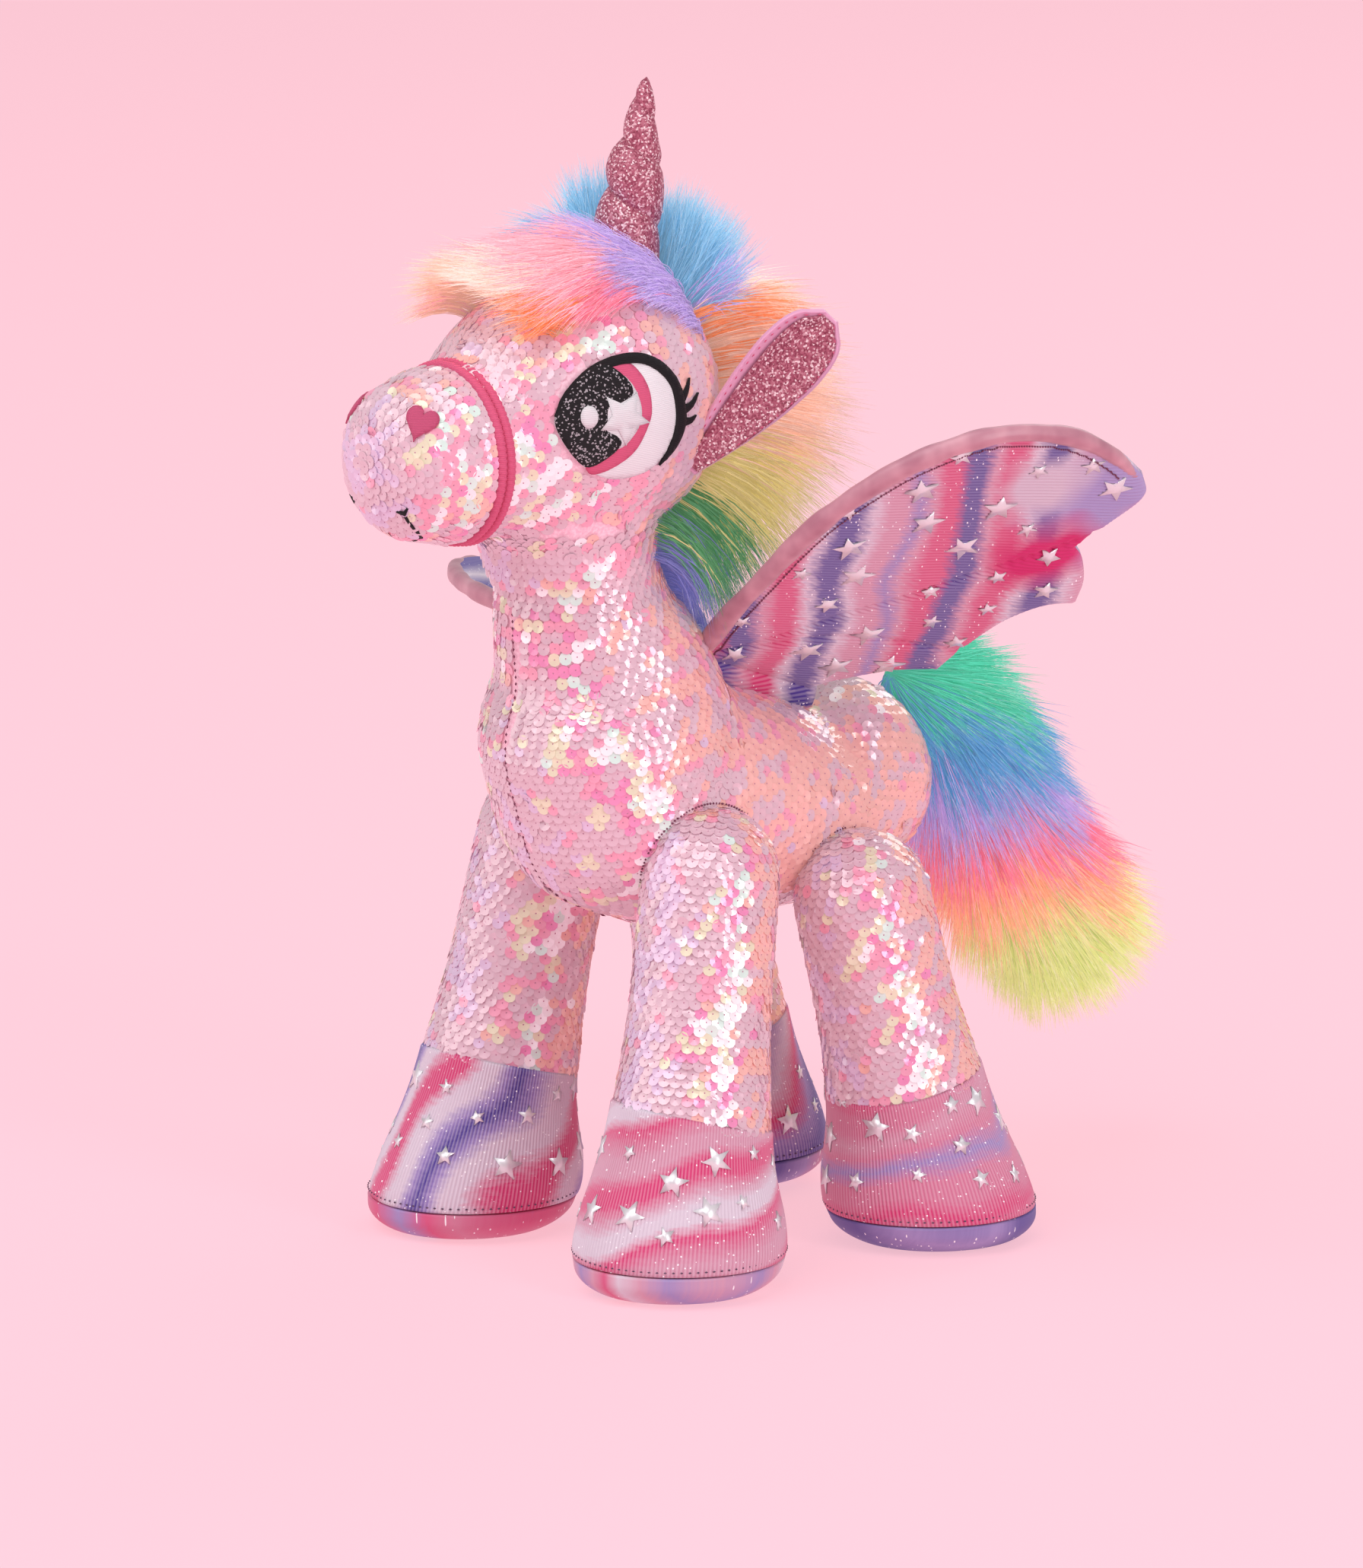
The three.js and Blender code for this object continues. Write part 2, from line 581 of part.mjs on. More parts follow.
const tailRoot = new THREE.Vector3(...TAIL.root);
const tabStem = manifolds.of(
  new THREE.CylinderGeometry(5, 5, 18, 12).translate(0, -9, 0).rotateX(radians(146)).translate(...TAIL.root),
);
const tab = ball(tailRoot, TAIL.ball, 14).add(tabStem);
add("tail_tab", tab, sequin);
const tabShape = ball(tailRoot, TAIL.ball + 1.5, 14).add(
  manifolds.of(
    new THREE.CylinderGeometry(6.5, 6.5, 21, 14).translate(0, -10.5, 0).rotateX(radians(146)).translate(...TAIL.root),
  ),
);
const tabRoom = swept(tabShape, tailRoot, new THREE.Vector3(0, 0, 1), steps(30, 1));
add("tail_fur", largest(furMass({ ...TAIL, sides: 16 }).subtract(tabRoom)), fur(0xc9a7d8));

// The middle of the footprint of the whole object goes to the origin, with the soles on Z = 0.
const extent = new THREE.Box3().setFromObject(unicorn, true);
const middle = extent.getCenter(new THREE.Vector3());
unicorn.position.set(-middle.x, -middle.y, -extent.min.z);

export default unicorn;
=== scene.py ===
"""A plush winged unicorn: sequin skins, rainbow fur, printed hooves and wings, and embroidered eyes.

Lengths are in millimetres from the ground point at the middle of the toy's stance, in the same directions as the CAD
frame: the toy faces -Y and its left side is +X. place() turns them into the frame's metres.
"""
import json
import math

import bpy
import numpy as np
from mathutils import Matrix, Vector
from mathutils.bvhtree import BVHTree
from mathutils.geometry import delaunay_2d_cdt


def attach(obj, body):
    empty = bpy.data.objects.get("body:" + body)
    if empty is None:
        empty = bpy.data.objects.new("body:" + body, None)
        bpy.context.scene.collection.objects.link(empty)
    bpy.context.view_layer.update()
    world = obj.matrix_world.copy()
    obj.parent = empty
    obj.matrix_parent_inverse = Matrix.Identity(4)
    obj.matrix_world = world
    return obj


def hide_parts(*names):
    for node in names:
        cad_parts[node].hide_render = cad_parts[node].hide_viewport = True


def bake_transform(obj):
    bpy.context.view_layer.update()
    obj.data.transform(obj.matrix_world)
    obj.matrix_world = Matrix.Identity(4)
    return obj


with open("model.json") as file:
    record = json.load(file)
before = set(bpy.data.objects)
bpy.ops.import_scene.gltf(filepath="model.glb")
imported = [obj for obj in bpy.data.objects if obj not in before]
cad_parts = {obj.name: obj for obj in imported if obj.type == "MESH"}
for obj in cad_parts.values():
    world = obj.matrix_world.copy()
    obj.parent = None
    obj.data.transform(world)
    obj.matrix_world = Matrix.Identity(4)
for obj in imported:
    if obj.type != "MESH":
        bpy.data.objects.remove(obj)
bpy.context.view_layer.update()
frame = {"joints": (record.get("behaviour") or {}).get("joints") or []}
joints = {j["name"]: j for j in frame["joints"]}
CORE = np.array([0.0, -58.0, 274.0])  # the head's pivot
SHIFT = np.array(joints["head_nod"]["pos_m"]) * 1000 - CORE
rng = np.random.default_rng(7)


def place(points):
    return (np.asarray(points, float) + SHIFT) / 1000


def unit(v):
    v = np.asarray(v, float)
    return v / np.maximum(np.linalg.norm(v, axis=-1, keepdims=True), 1e-9)


# ---------- meshes ----------
def build(name, points, faces, materials, slots=None, smooth=True):
    """One mesh object from points in design millimetres and faces: an array of equal faces, or a list of arrays."""
    groups = [np.asarray(f, np.int32) for f in (faces if isinstance(faces, list) else [faces]) if len(f)]
    mesh = bpy.data.meshes.new(name)
    points = place(points)
    mesh.vertices.add(len(points))
    mesh.vertices.foreach_set("co", points.astype(np.float32).ravel())
    loops = np.concatenate([g.ravel() for g in groups])
    counts = np.concatenate([np.full(len(g), g.shape[1]) for g in groups])
    mesh.loops.add(len(loops))
    mesh.loops.foreach_set("vertex_index", loops)
    mesh.polygons.add(len(counts))
    mesh.polygons.foreach_set("loop_start", np.concatenate([[0], np.cumsum(counts)[:-1]]).astype(np.int32))
    mesh.polygons.foreach_set("loop_total", counts.astype(np.int32))
    for m in materials if isinstance(materials, (list, tuple)) else [materials]:
        mesh.materials.append(m)
    if slots is not None:
        mesh.polygons.foreach_set("material_index", np.asarray(slots, np.int32))
    mesh.polygons.foreach_set("use_smooth", np.full(len(counts), smooth))
    mesh.update(calc_edges=True)
    mesh.validate()
    obj = bpy.data.objects.new(name, mesh)
    bpy.context.scene.collection.objects.link(obj)
    return obj


def grid_faces(rows, columns, closed=True):
    """Quads over a rows x columns lattice, joined round when closed."""
    i, j = np.meshgrid(np.arange(rows - 1), np.arange(columns if closed else columns - 1), indexing="ij")
    k = (j + 1) % columns
    return np.stack([i * columns + j, i * columns + k, (i + 1) * columns + k, (i + 1) * columns + j], -1).reshape(-1, 4)


def shape_of(obj):
    """A search tree over an object's surface, in design millimetres."""
    mesh = obj.data
    points = np.empty(len(mesh.vertices) * 3, np.float32)
    mesh.vertices.foreach_get("co", points)
    points = points.reshape(-1, 3) * 1000 - SHIFT
    return BVHTree.FromPolygons([Vector(p) for p in points], [tuple(p.vertices) for p in mesh.polygons])


def fair(values, t):
    """A smooth curve through evenly spaced stations (rows of values), read at t from 0 to 1."""
    v = np.asarray(values, float)
    v = v[:, None] if v.ndim == 1 else v
    ext = np.vstack([2 * v[0] - v[1], v, 2 * v[-1] - v[-2]])
    x = np.clip(np.atleast_1d(t), 0, 1) * (len(v) - 1)
    i = np.minimum(x.astype(int), len(v) - 2)
    f = (x - i)[:, None]
    a, b, c, d = ext[i], ext[i + 1], ext[i + 2], ext[i + 3]
    return 0.5 * (2 * b + (c - a) * f + (2 * a - 5 * b + 4 * c - d) * f**2 + (3 * b - a - 3 * c + d) * f**3)


class Tube:
    """A stuffed tube with round ends. Stations: spine (y, z) or (x, y, z), half width across, half depth."""

    def __init__(self, spine, across, deep, caps):
        self.spine = np.array([p if len(p) == 3 else (0.0, *p) for p in spine], float)
        self.across, self.deep, self.caps = across, deep, caps

    def rings(self, count, sides, inset=0.0):
        a = np.linspace(0, math.pi / 2, max(count // 5, 4))
        body = np.linspace(0, 1, count)[1:-1]
        t = np.concatenate([np.zeros(len(a)), body, np.ones(len(a))])
        out = np.concatenate([-np.cos(a), np.zeros(len(body)), np.sin(a)])
        round_ = np.concatenate([np.sin(a), np.ones(len(body)), np.cos(a)])
        centre = fair(self.spine, t)
        tangent = unit(fair(self.spine, np.minimum(t + 0.01, 1)) - fair(self.spine, np.maximum(t - 0.01, 0)))
        side = np.array([1.0, 0, 0]) - tangent * tangent[:, :1]
        side = unit(side)
        up = np.cross(side, tangent)
        cap = np.where(out < 0, self.caps[0], self.caps[1]) - inset
        centre = centre + tangent * (out * cap)[:, None]
        wide = (fair(self.across, t)[:, 0] - inset) * round_
        high = (fair(self.deep, t)[:, 0] - inset) * round_
        th = np.linspace(0, 2 * math.pi, sides, endpoint=False)
        return (
            centre[:, None]
            + side[:, None] * (wide[:, None] * np.cos(th))[..., None]
            + up[:, None] * (high[:, None] * np.sin(th))[..., None]
        )

    def mesh(self, name, material, count=40, sides=48, inset=0.0):
        ring = self.rings(count, sides, inset)
        return build(name, ring.reshape(-1, 3), grid_faces(len(ring), sides), material)


def join(objects):
    bpy.ops.object.select_all(action="DESELECT")
    for o in objects:
        o.select_set(True)
    bpy.context.view_layer.objects.active = objects[0]
    bpy.ops.object.join()
    return objects[0]


def apply(obj, kind, **settings):
    modifier = obj.modifiers.new(kind, kind)
    for key, value in settings.items():
        setattr(modifier, key, value)
    bpy.ops.object.select_all(action="DESELECT")
    obj.select_set(True)
    bpy.context.view_layer.objects.active = obj
    bpy.ops.object.modifier_apply(modifier=modifier.name)
    return obj


def soften(obj, voxel=3.0, smooth=8):
    """Melts overlapping closed shapes into one even, smooth skin."""
    apply(obj, "REMESH", mode="VOXEL", voxel_size=voxel / 1000)
    apply(obj, "SMOOTH", factor=0.5, iterations=smooth)
    obj.data.polygons.foreach_set("use_smooth", np.ones(len(obj.data.polygons), bool))
    return obj


def stuff(obj, pressure, cap, frames=12):
    """Swells a skin like a stuffed cloth shell, by a short cloth simulation that moves no point more than cap mm."""
    start = np.empty(len(obj.data.vertices) * 3, np.float32)
    obj.data.vertices.foreach_get("co", start)
    cloth = obj.modifiers.new("Cloth", "CLOTH")
    cloth.settings.quality = 5
    cloth.settings.use_pressure = True
    cloth.settings.uniform_pressure_force = pressure
    cloth.settings.effector_weights.gravity = 0
    cloth.settings.tension_stiffness = 12
    cloth.settings.compression_stiffness = 12
    cloth.settings.bending_stiffness = 0.4
    cloth.point_cache.frame_end = frames
    scene = bpy.context.scene
    for f in range(1, frames + 1):
        scene.frame_set(f)
    done = obj.evaluated_get(bpy.context.evaluated_depsgraph_get()).data
    moved = np.empty(len(start), np.float32)
    done.vertices.foreach_get("co", moved)
    obj.modifiers.remove(cloth)
    scene.frame_set(1)
    step = (moved - start).reshape(-1, 3)
    length = np.linalg.norm(step, axis=1, keepdims=True)
    limit = cap / 1000
    step *= np.where(length > 1e-9, np.tanh(length / limit) * limit / np.maximum(length, 1e-9), 0)
    obj.data.vertices.foreach_set("co", (start.reshape(-1, 3) + step).ravel())
    obj.data.update()
    return apply(obj, "SMOOTH", factor=0.5, iterations=2)


# ---------- materials ----------
def material(name, color, roughness=0.5, **inputs):
    mat = bpy.data.materials.new(name)
    mat.use_nodes = True
    mat.diffuse_color = (*color, 1)
    p = mat.node_tree.nodes["Principled BSDF"]
    p.inputs["Base Color"].default_value = (*color, 1)
    p.inputs["Roughness"].default_value = roughness
    for key, value in inputs.items():
        p.inputs[key.replace("_", " ")].default_value = value
    return mat


class Graph:
    """Short words for wiring a material's nodes."""

    def __init__(self, mat):
        self.tree = mat.node_tree
        self.shader = self.tree.nodes["Principled BSDF"]

    def node(self, kind, **settings):
        n = self.tree.nodes.new("ShaderNode" + kind)
        for key, value in settings.items():
            if key in n.inputs:
                n.inputs[key].default_value = value
            else:
                setattr(n, key, value)
        return n

    def link(self, out, into):
        self.tree.links.new(out, into)

    def math(self, operation, a, b=0.0):
        n = self.node("Math", operation=operation)
        for i, v in enumerate((a, b)):
            if hasattr(v, "links"):
                self.link(v, n.inputs[i])
            else:
                n.inputs[i].default_value = v
        return n.outputs[0]

    def ramp(self, fac, stops, interpolation="LINEAR"):
        n = self.node("ValToRGB")
        n.color_ramp.interpolation = interpolation
        elements = n.color_ramp.elements
        while len(elements) < len(stops):
            elements.new(0.5)
        for e, (at, color) in zip(elements, stops):
            e.position, e.color = at, (*color, 1)
        self.link(fac, n.inputs[0])
        return n.outputs[0]

    def mix(self, fac, a, b):
        n = self.node("Mix", data_type="RGBA")
        for v, s in ((fac, n.inputs[0]), (a, n.inputs[6]), (b, n.inputs[7])):
            if hasattr(v, "links"):
                self.link(v, s)
            else:
                s.default_value = v if isinstance(v, float) else (*v, 1)
        return n.outputs[2]

    def bump(self, height, strength, distance):
        n = self.node("Bump", Strength=strength, Distance=distance)
        self.link(height, n.inputs["Height"])
        self.link(n.outputs[0], self.shader.inputs["Normal"])


SEQUIN_TINTS = {
    "blush": (0.68, 0.47, 0.55),
    "rose": (0.82, 0.34, 0.47),
    "magenta": (0.80, 0.26, 0.48),
    "peach": (0.84, 0.46, 0.42),
    "lilac": (0.68, 0.50, 0.68),
    "cream": (0.76, 0.70, 0.52),
    "mint": (0.66, 0.82, 0.76),
    "pearl": (0.92, 0.86, 0.90),
}


def sequin_materials():
    """One iridescent film for each tint: a thin-film coat shifts its colour with the angle of view. A faint glow in
    each tint's own colour is painted light, standing in for light that passes through the film.
    """
    return [
        material(
            "sequin_" + name, color, 0.26, Metallic=0.1, Coat_Weight=1.0, Coat_Roughness=0.08,
            Thin_Film_Thickness=420.0, Thin_Film_IOR=1.5, Specular_IOR_Level=0.6,
            # painted light: a faint self-glow in the sequin's colour, for light shining through the film
            Emission_Color=(*color, 1), Emission_Strength=0.10,
        )
        for name, color in SEQUIN_TINTS.items()
    ]


def knit_material():
    """The pink mesh that the sequins are sewn to. Its faint glow is painted light that lifts the shade in the gaps
    between the sequins.
    """
    # painted light: a faint glow brightens the backing where it shows in the shaded gaps between sequins
    mat = material("sequin_backing", (0.86, 0.52, 0.62), 0.75, Sheen_Weight=0.2,
                   Emission_Color=(0.86, 0.52, 0.62, 1), Emission_Strength=0.12)
    g = Graph(mat)
    noise = g.node("TexNoise", Scale=900.0)
    g.link(g.node("TexCoord").outputs["Object"], noise.inputs["Vector"])
    color = g.ramp(noise.outputs["Fac"], [(0.35, (0.80, 0.44, 0.55)), (0.65, (0.92, 0.62, 0.71))])
    g.link(color, g.shader.inputs["Base Color"])
    g.bump(noise.outputs["Fac"], 0.4, 0.0004)
    return mat


PRINT = {
    "pale": (0.60, 0.28, 0.39),
    "white": (0.64, 0.55, 0.64),
    "pink": (0.62, 0.025, 0.16),
    "rose": (0.60, 0.17, 0.29),
    "lilac": (0.29, 0.21, 0.49),
    "purple": (0.05, 0.025, 0.27),
}


def print_material(name, order, width, turn, wander=0.8, seed=0.0, rib=(1.0, 0.0), pitch=0.00141):
    """Ribbed knit printed with soft zebra stripes. The stripes run across the piece's UV map, which is in metres."""
    mat = material(name, PRINT["pale"], 0.6, Sheen_Weight=0.08, Specular_IOR_Level=0.3)
    g = Graph(mat)
    uv = g.node("UVMap", uv_map="cloth")
    turned = g.node("Mapping")
    turned.inputs["Rotation"].default_value = (0, 0, math.radians(turn))
    turned.inputs["Location"].default_value = (seed, seed * 0.37, 0)
    g.link(uv.outputs[0], turned.inputs["Vector"])
    sway = g.node("TexNoise", Scale=16.0, Detail=1.0)
    g.link(turned.outputs[0], sway.inputs["Vector"])
    stretch = g.node("Mapping")
    stretch.inputs["Scale"].default_value = (160, 760, 1)
    g.link(uv.outputs[0], stretch.inputs["Vector"])
    fuzz = g.node("TexNoise", Scale=1.0, Detail=2.0)
    g.link(stretch.outputs[0], fuzz.inputs["Vector"])
    split = g.node("SeparateXYZ")
    g.link(turned.outputs[0], split.inputs[0])
    along = g.math("DIVIDE", split.outputs[0], width)
    along = g.math("ADD", along, g.math("MULTIPLY", sway.outputs["Fac"], wander))
    along = g.math("ADD", along, g.math("MULTIPLY", fuzz.outputs["Fac"], 0.10))
    color = g.ramp(g.math("FRACT", along), order)
    flat = g.node("SeparateXYZ")
    g.link(uv.outputs[0], flat.inputs[0])
    across = g.math("ADD", g.math("MULTIPLY", flat.outputs[0], rib[0]), g.math("MULTIPLY", flat.outputs[1], rib[1]))
    ridge = g.math("SINE", g.math("MULTIPLY", across, 2 * math.pi / pitch))
    color = g.mix(g.math("MULTIPLY", g.math("ADD", ridge, 1.0), 0.10), color, (0.90, 0.84, 0.92))
    speck = g.node("TexVoronoi", Scale=420.0)
    g.link(uv.outputs[0], speck.inputs["Vector"])
    sparkle = g.math("LESS_THAN", speck.outputs["Distance"], 0.13)
    color = g.mix(sparkle, color, (0.95, 0.93, 0.97))
    g.link(color, g.shader.inputs["Base Color"])
    return mat


def patch_on(mat, centre, radius, color, soft=0.6):
    """Dyes a soft round patch over a printed cloth, at a place on its UV map."""
    g = Graph(mat)
    under = g.shader.inputs["Base Color"].links[0].from_socket
    uv = g.node("UVMap", uv_map="cloth")
    noise = g.node("TexNoise", Scale=45.0, Detail=1.0)
    g.link(uv.outputs[0], noise.inputs["Vector"])
    gap = g.node("VectorMath", operation="DISTANCE")
    g.link(uv.outputs[0], gap.inputs[0])
    gap.inputs[1].default_value = (*centre, 0)
    near = g.math("SUBTRACT", 1 + soft, g.math("DIVIDE", gap.outputs["Value"], radius))
    near = g.math("ADD", near, g.math("MULTIPLY", g.math("SUBTRACT", noise.outputs["Fac"], 0.5), 1.6))
    near.node.use_clamp = True
    g.link(g.mix(near, under, color), g.shader.inputs["Base Color"])


def stripes(*names):
    """Evenly spaced soft stripes of the named print colours, ending as they begin."""
    names = (*names, names[0])
    return [(i / (len(names) - 1), PRINT[n]) for i, n in enumerate(names)]


def glitter_material():
    """Dusty rose cloth covered in fine silver-pink glitter."""
    mat = material("rose_glitter", (0.44, 0.12, 0.18), 0.5, Metallic=0.1)
    g = Graph(mat)
    speck = g.node("TexVoronoi", Scale=1500.0)
    g.link(g.node("TexCoord").outputs["Object"], speck.inputs["Vector"])
    value = g.node("SeparateColor")
    g.link(speck.outputs["Color"], value.inputs[0])
    color = g.ramp(
        value.outputs[0],
        [(0.0, (0.22, 0.025, 0.06)), (0.5, (0.40, 0.09, 0.15)), (0.76, (0.52, 0.19, 0.25)), (0.95, (0.88, 0.66, 0.70))],
    )
    g.link(color, g.shader.inputs["Base Color"])
    g.link(g.ramp(value.outputs[1], [(0.3, (0.6,) * 3), (0.9, (0.3,) * 3)]), g.shader.inputs["Roughness"])
    g.bump(value.outputs[2], 0.5, 0.0003)
    return mat


def satin_material():
    mat = material("rose_satin", (0.50, 0.22, 0.28), 0.36, Sheen_Weight=0.2, Anisotropic=0.5)
    g = Graph(mat)
    weave = g.node("TexNoise", Scale=90.0, Detail=2.0)
    g.link(g.node("TexCoord").outputs["Object"], weave.inputs["Vector"])
    g.link(
        g.ramp(weave.outputs["Fac"], [(0.3, (0.40, 0.16, 0.22)), (0.7, (0.60, 0.30, 0.36))]),
        g.shader.inputs["Base Color"],
    )
    g.bump(weave.outputs["Fac"], 0.2, 0.0010)
    return mat


def thread_material(name, color, scale=900.0, spark=0.0):
    """Close satin stitches, with painted shade in the grooves between them; spark adds the silver flecks of a glitter
    thread.
    """
    mat = material(name, color, 0.55, Sheen_Weight=0.04, Specular_IOR_Level=0.25)
    g = Graph(mat)
    place_ = g.node("TexCoord").outputs["Object"]
    wave = g.node("TexWave", Scale=scale, Distortion=1.5)
    wave.bands_direction = "Z"
    g.link(place_, wave.inputs["Vector"])
    # painted shade: the thread is darkened where the stitch bump is low, in the grooves between stitches
    stitch_groove_shade = tuple(c * 0.72 for c in color)
    out = g.ramp(wave.outputs["Fac"], [(0.1, stitch_groove_shade), (0.6, color)])
    if spark:
        fleck = g.node("TexVoronoi", Scale=1700.0)
        g.link(place_, fleck.inputs["Vector"])
        value = g.node("SeparateColor")
        g.link(fleck.outputs["Color"], value.inputs[0])
        out = g.mix(g.math("GREATER_THAN", value.outputs[0], 1 - spark), out, (0.40, 0.37, 0.40))
    g.link(out, g.shader.inputs["Base Color"])
    g.bump(wave.outputs["Fac"], 0.5, 0.0003)
    return mat


BACKING = knit_material()
SEQUINS = sequin_materials()
DOT = material("sequin_thread", (0.50, 0.22, 0.32), 0.7)
GLITTER = glitter_material()
SATIN = satin_material()
FOIL = material("silver_foil", (0.80, 0.80, 0.83), 0.34, Metallic=0.45)
HOT_PINK = thread_material("hot_pink_satin", (0.78, 0.12, 0.25), 700.0)
NOSTRIL_ROSE = thread_material("nostril_satin", (0.60, 0.09, 0.20), 700.0)
BLACK = thread_material("black_thread", (0.006, 0.005, 0.007), 700.0)
PUPIL = thread_material("black_glitter_thread", (0.008, 0.007, 0.009), 700.0, spark=0.16)
WHITE = thread_material("white_thread", (0.86, 0.85, 0.88), 700.0)
SCLERA = thread_material("grey_white_thread", (0.95, 0.94, 0.97), 700.0)
ROSE_THREAD = thread_material("rose_thread", (0.62, 0.22, 0.30), 700.0)
STITCH = material("dark_stitches", (0.10, 0.05, 0.10), 0.7)

# ---------- sequins ----------
def smoothstep(a, b, x):
    t = np.clip((x - a) / (b - a), 0, 1)
    return t * t * (3 - 2 * t)


SEQUIN_RADIUS, ROW, ALONG = 2.5, 3.2, 4.3


def ripple(points, scale, seed):
    """Smooth patchy noise from 0 to 1 over points, as a sum of slanted waves."""
    r = np.random.default_rng(seed)
    total = np.zeros(len(points))
    for _ in range(7):
        k = unit(r.normal(size=3)) * r.uniform(0.6, 1.6) * 2 * math.pi / scale
        total += np.sin(points @ k + r.uniform(0, 6.28))
    return 0.5 + 0.5 * np.tanh(total / 2.2)


def sequin_sites(tube, skin, keep):
    """Centres, normals and row directions of sequins set in staggered rows round a tube, laid on the skin."""
    fine = tube.rings(160, 180)
    step = np.linalg.norm(np.diff(fine, axis=0), axis=2).mean(1)
    run = np.concatenate([[0], np.cumsum(step)])
    centres, normals, lines = [], [], []
    for row, s in enumerate(np.arange(ROW * 0.5, run[-1], ROW)):
        i = min(np.searchsorted(run, s) - 1, len(fine) - 2)
        f = (s - run[i]) / max(step[i], 1e-6)
        ring = fine[i] * (1 - f) + fine[i + 1] * f
        ahead = unit(fine[i + 1] - fine[i])
        loop = np.vstack([ring, ring[:1]])
        arc = np.concatenate([[0], np.cumsum(np.linalg.norm(np.diff(loop, axis=0), axis=1))])
        count = max(int(round(arc[-1] / ALONG)), 1)
        at = (np.arange(count) + 0.5 * (row % 2)) * arc[-1] / count
        k = np.clip(np.searchsorted(arc, at, side="right") - 1, 0, len(ring) - 1)
        g = ((at - arc[k]) / np.maximum(arc[k + 1] - arc[k], 1e-6))[:, None]
        for p, d in zip(loop[k] * (1 - g) + loop[k + 1] * g, ahead[k]):
            hit, normal, _, gap = skin.find_nearest(Vector(p))
            if hit is None or gap > 5 or not keep(np.array(hit)):
                continue
            centres.append(hit), normals.append(normal), lines.append(d)
    return np.array(centres), np.array(normals), np.array(lines)


# How the tints share out by how far a sequin is turned from the toy's front, in degrees. The pearl, mint and cream
# streak near 56 to 82 degrees is a painted highlight where the strip lamp reflects; the other hues follow the same
# angle, the film's colour shift for one direction of view painted in.
TURNS = [0, 12, 28, 42, 56, 66, 73, 82, 90, 102, 180]
SHARES = {
    "blush": [0.50, 0.60, 0.75, 0.60, 0.45, 0.25, 0.03, 0.25, 0.45, 0.36, 0.22],
    "rose": [0.05, 0.05, 0.08, 0.12, 0.25, 0.25, 0.00, 0.30, 0.22, 0.08, 0.10],
    "magenta": [0.00, 0.00, 0.00, 0.03, 0.12, 0.22, 0.02, 0.20, 0.05, 0.00, 0.00],
    "peach": [0.00, 0.00, 0.02, 0.05, 0.04, 0.00, 0.00, 0.12, 0.28, 0.60, 0.75],
    "lilac": [0.42, 0.34, 0.10, 0.02, 0.00, 0.00, 0.00, 0.00, 0.00, 0.00, 0.02],
    "cream": [0.00, 0.00, 0.05, 0.18, 0.12, 0.10, 0.17, 0.05, 0.00, 0.00, 0.00],
    "mint": [0.00, 0.00, 0.00, 0.02, 0.02, 0.05, 0.28, 0.05, 0.00, 0.00, 0.00],
    "pearl": [0.00, 0.00, 0.01, 0.02, 0.03, 0.30, 0.60, 0.16, 0.01, 0.00, 0.00],
}


TOP_SHARES = {"blush": 0.64, "rose": 0.12, "peach": 0.16, "cream": 0.05, "pearl": 0.03}


def tint_of(points, normals, mood, lean):
    """Which tint each sequin shows: lilac in front, pearly where the sides turn out, peach behind. The pearly streak is
    a painted highlight of the strip lamp, and the hues by angle are the film's colour shift for one view, painted in.
    mood scales the shares of some tints; lean moves the painted highlight streak forward as it climbs the shoulder."""
    turn = np.degrees(np.arctan2(np.abs(normals[:, 0]), -normals[:, 1]))
    turn += lean * (np.clip(points[:, 2], 165, 225) - 165 + 80 * smoothstep(-20, 15, points[:, 1]))
    turn += (ripple(points, 44, 3) - 0.5) * 16 + rng.normal(0, 1.2, len(points))
    level = smoothstep(0.66, 0.92, np.abs(normals[:, 2]))[:, None]
    share = np.stack([np.interp(turn, TURNS, SHARES[name]) for name in SEQUIN_TINTS], 1)
    share = share * (1 - level) + level * [TOP_SHARES.get(name, 0.0) for name in SEQUIN_TINTS]
    share = share * [mood.get(name, 1.0) for name in SEQUIN_TINTS]
    share = np.cumsum(share / share.sum(1, keepdims=True), 1)
    calm = ripple(points, 15, 71) * 0.6 + ripple(points, 7.5, 13) * 0.28 + rng.random(len(points)) * 0.12
    rank = np.argsort(np.argsort(calm)) / max(len(calm), 1)  # neighbours mostly agree
    return (rank[:, None] > share).sum(1).clip(0, len(SEQUINS) - 1)


# moods scale tint shares per piece: lower pearl, mint and cream shares give the face, muzzle and neck less of the
# painted highlight
NO_MOOD = {}
FACE_MOOD = {"pearl": 0.2, "mint": 0.2, "magenta": 0.3, "cream": 0.3, "peach": 0.3, "lilac": 1.8}
MUZZLE_MOOD = {"pearl": 0.35, "mint": 0.5, "magenta": 0.5, "cream": 0.6, "peach": 0.5, "lilac": 1.5}
NECK_MOOD = {"pearl": 0.6, "mint": 0.7, "peach": 0.4}


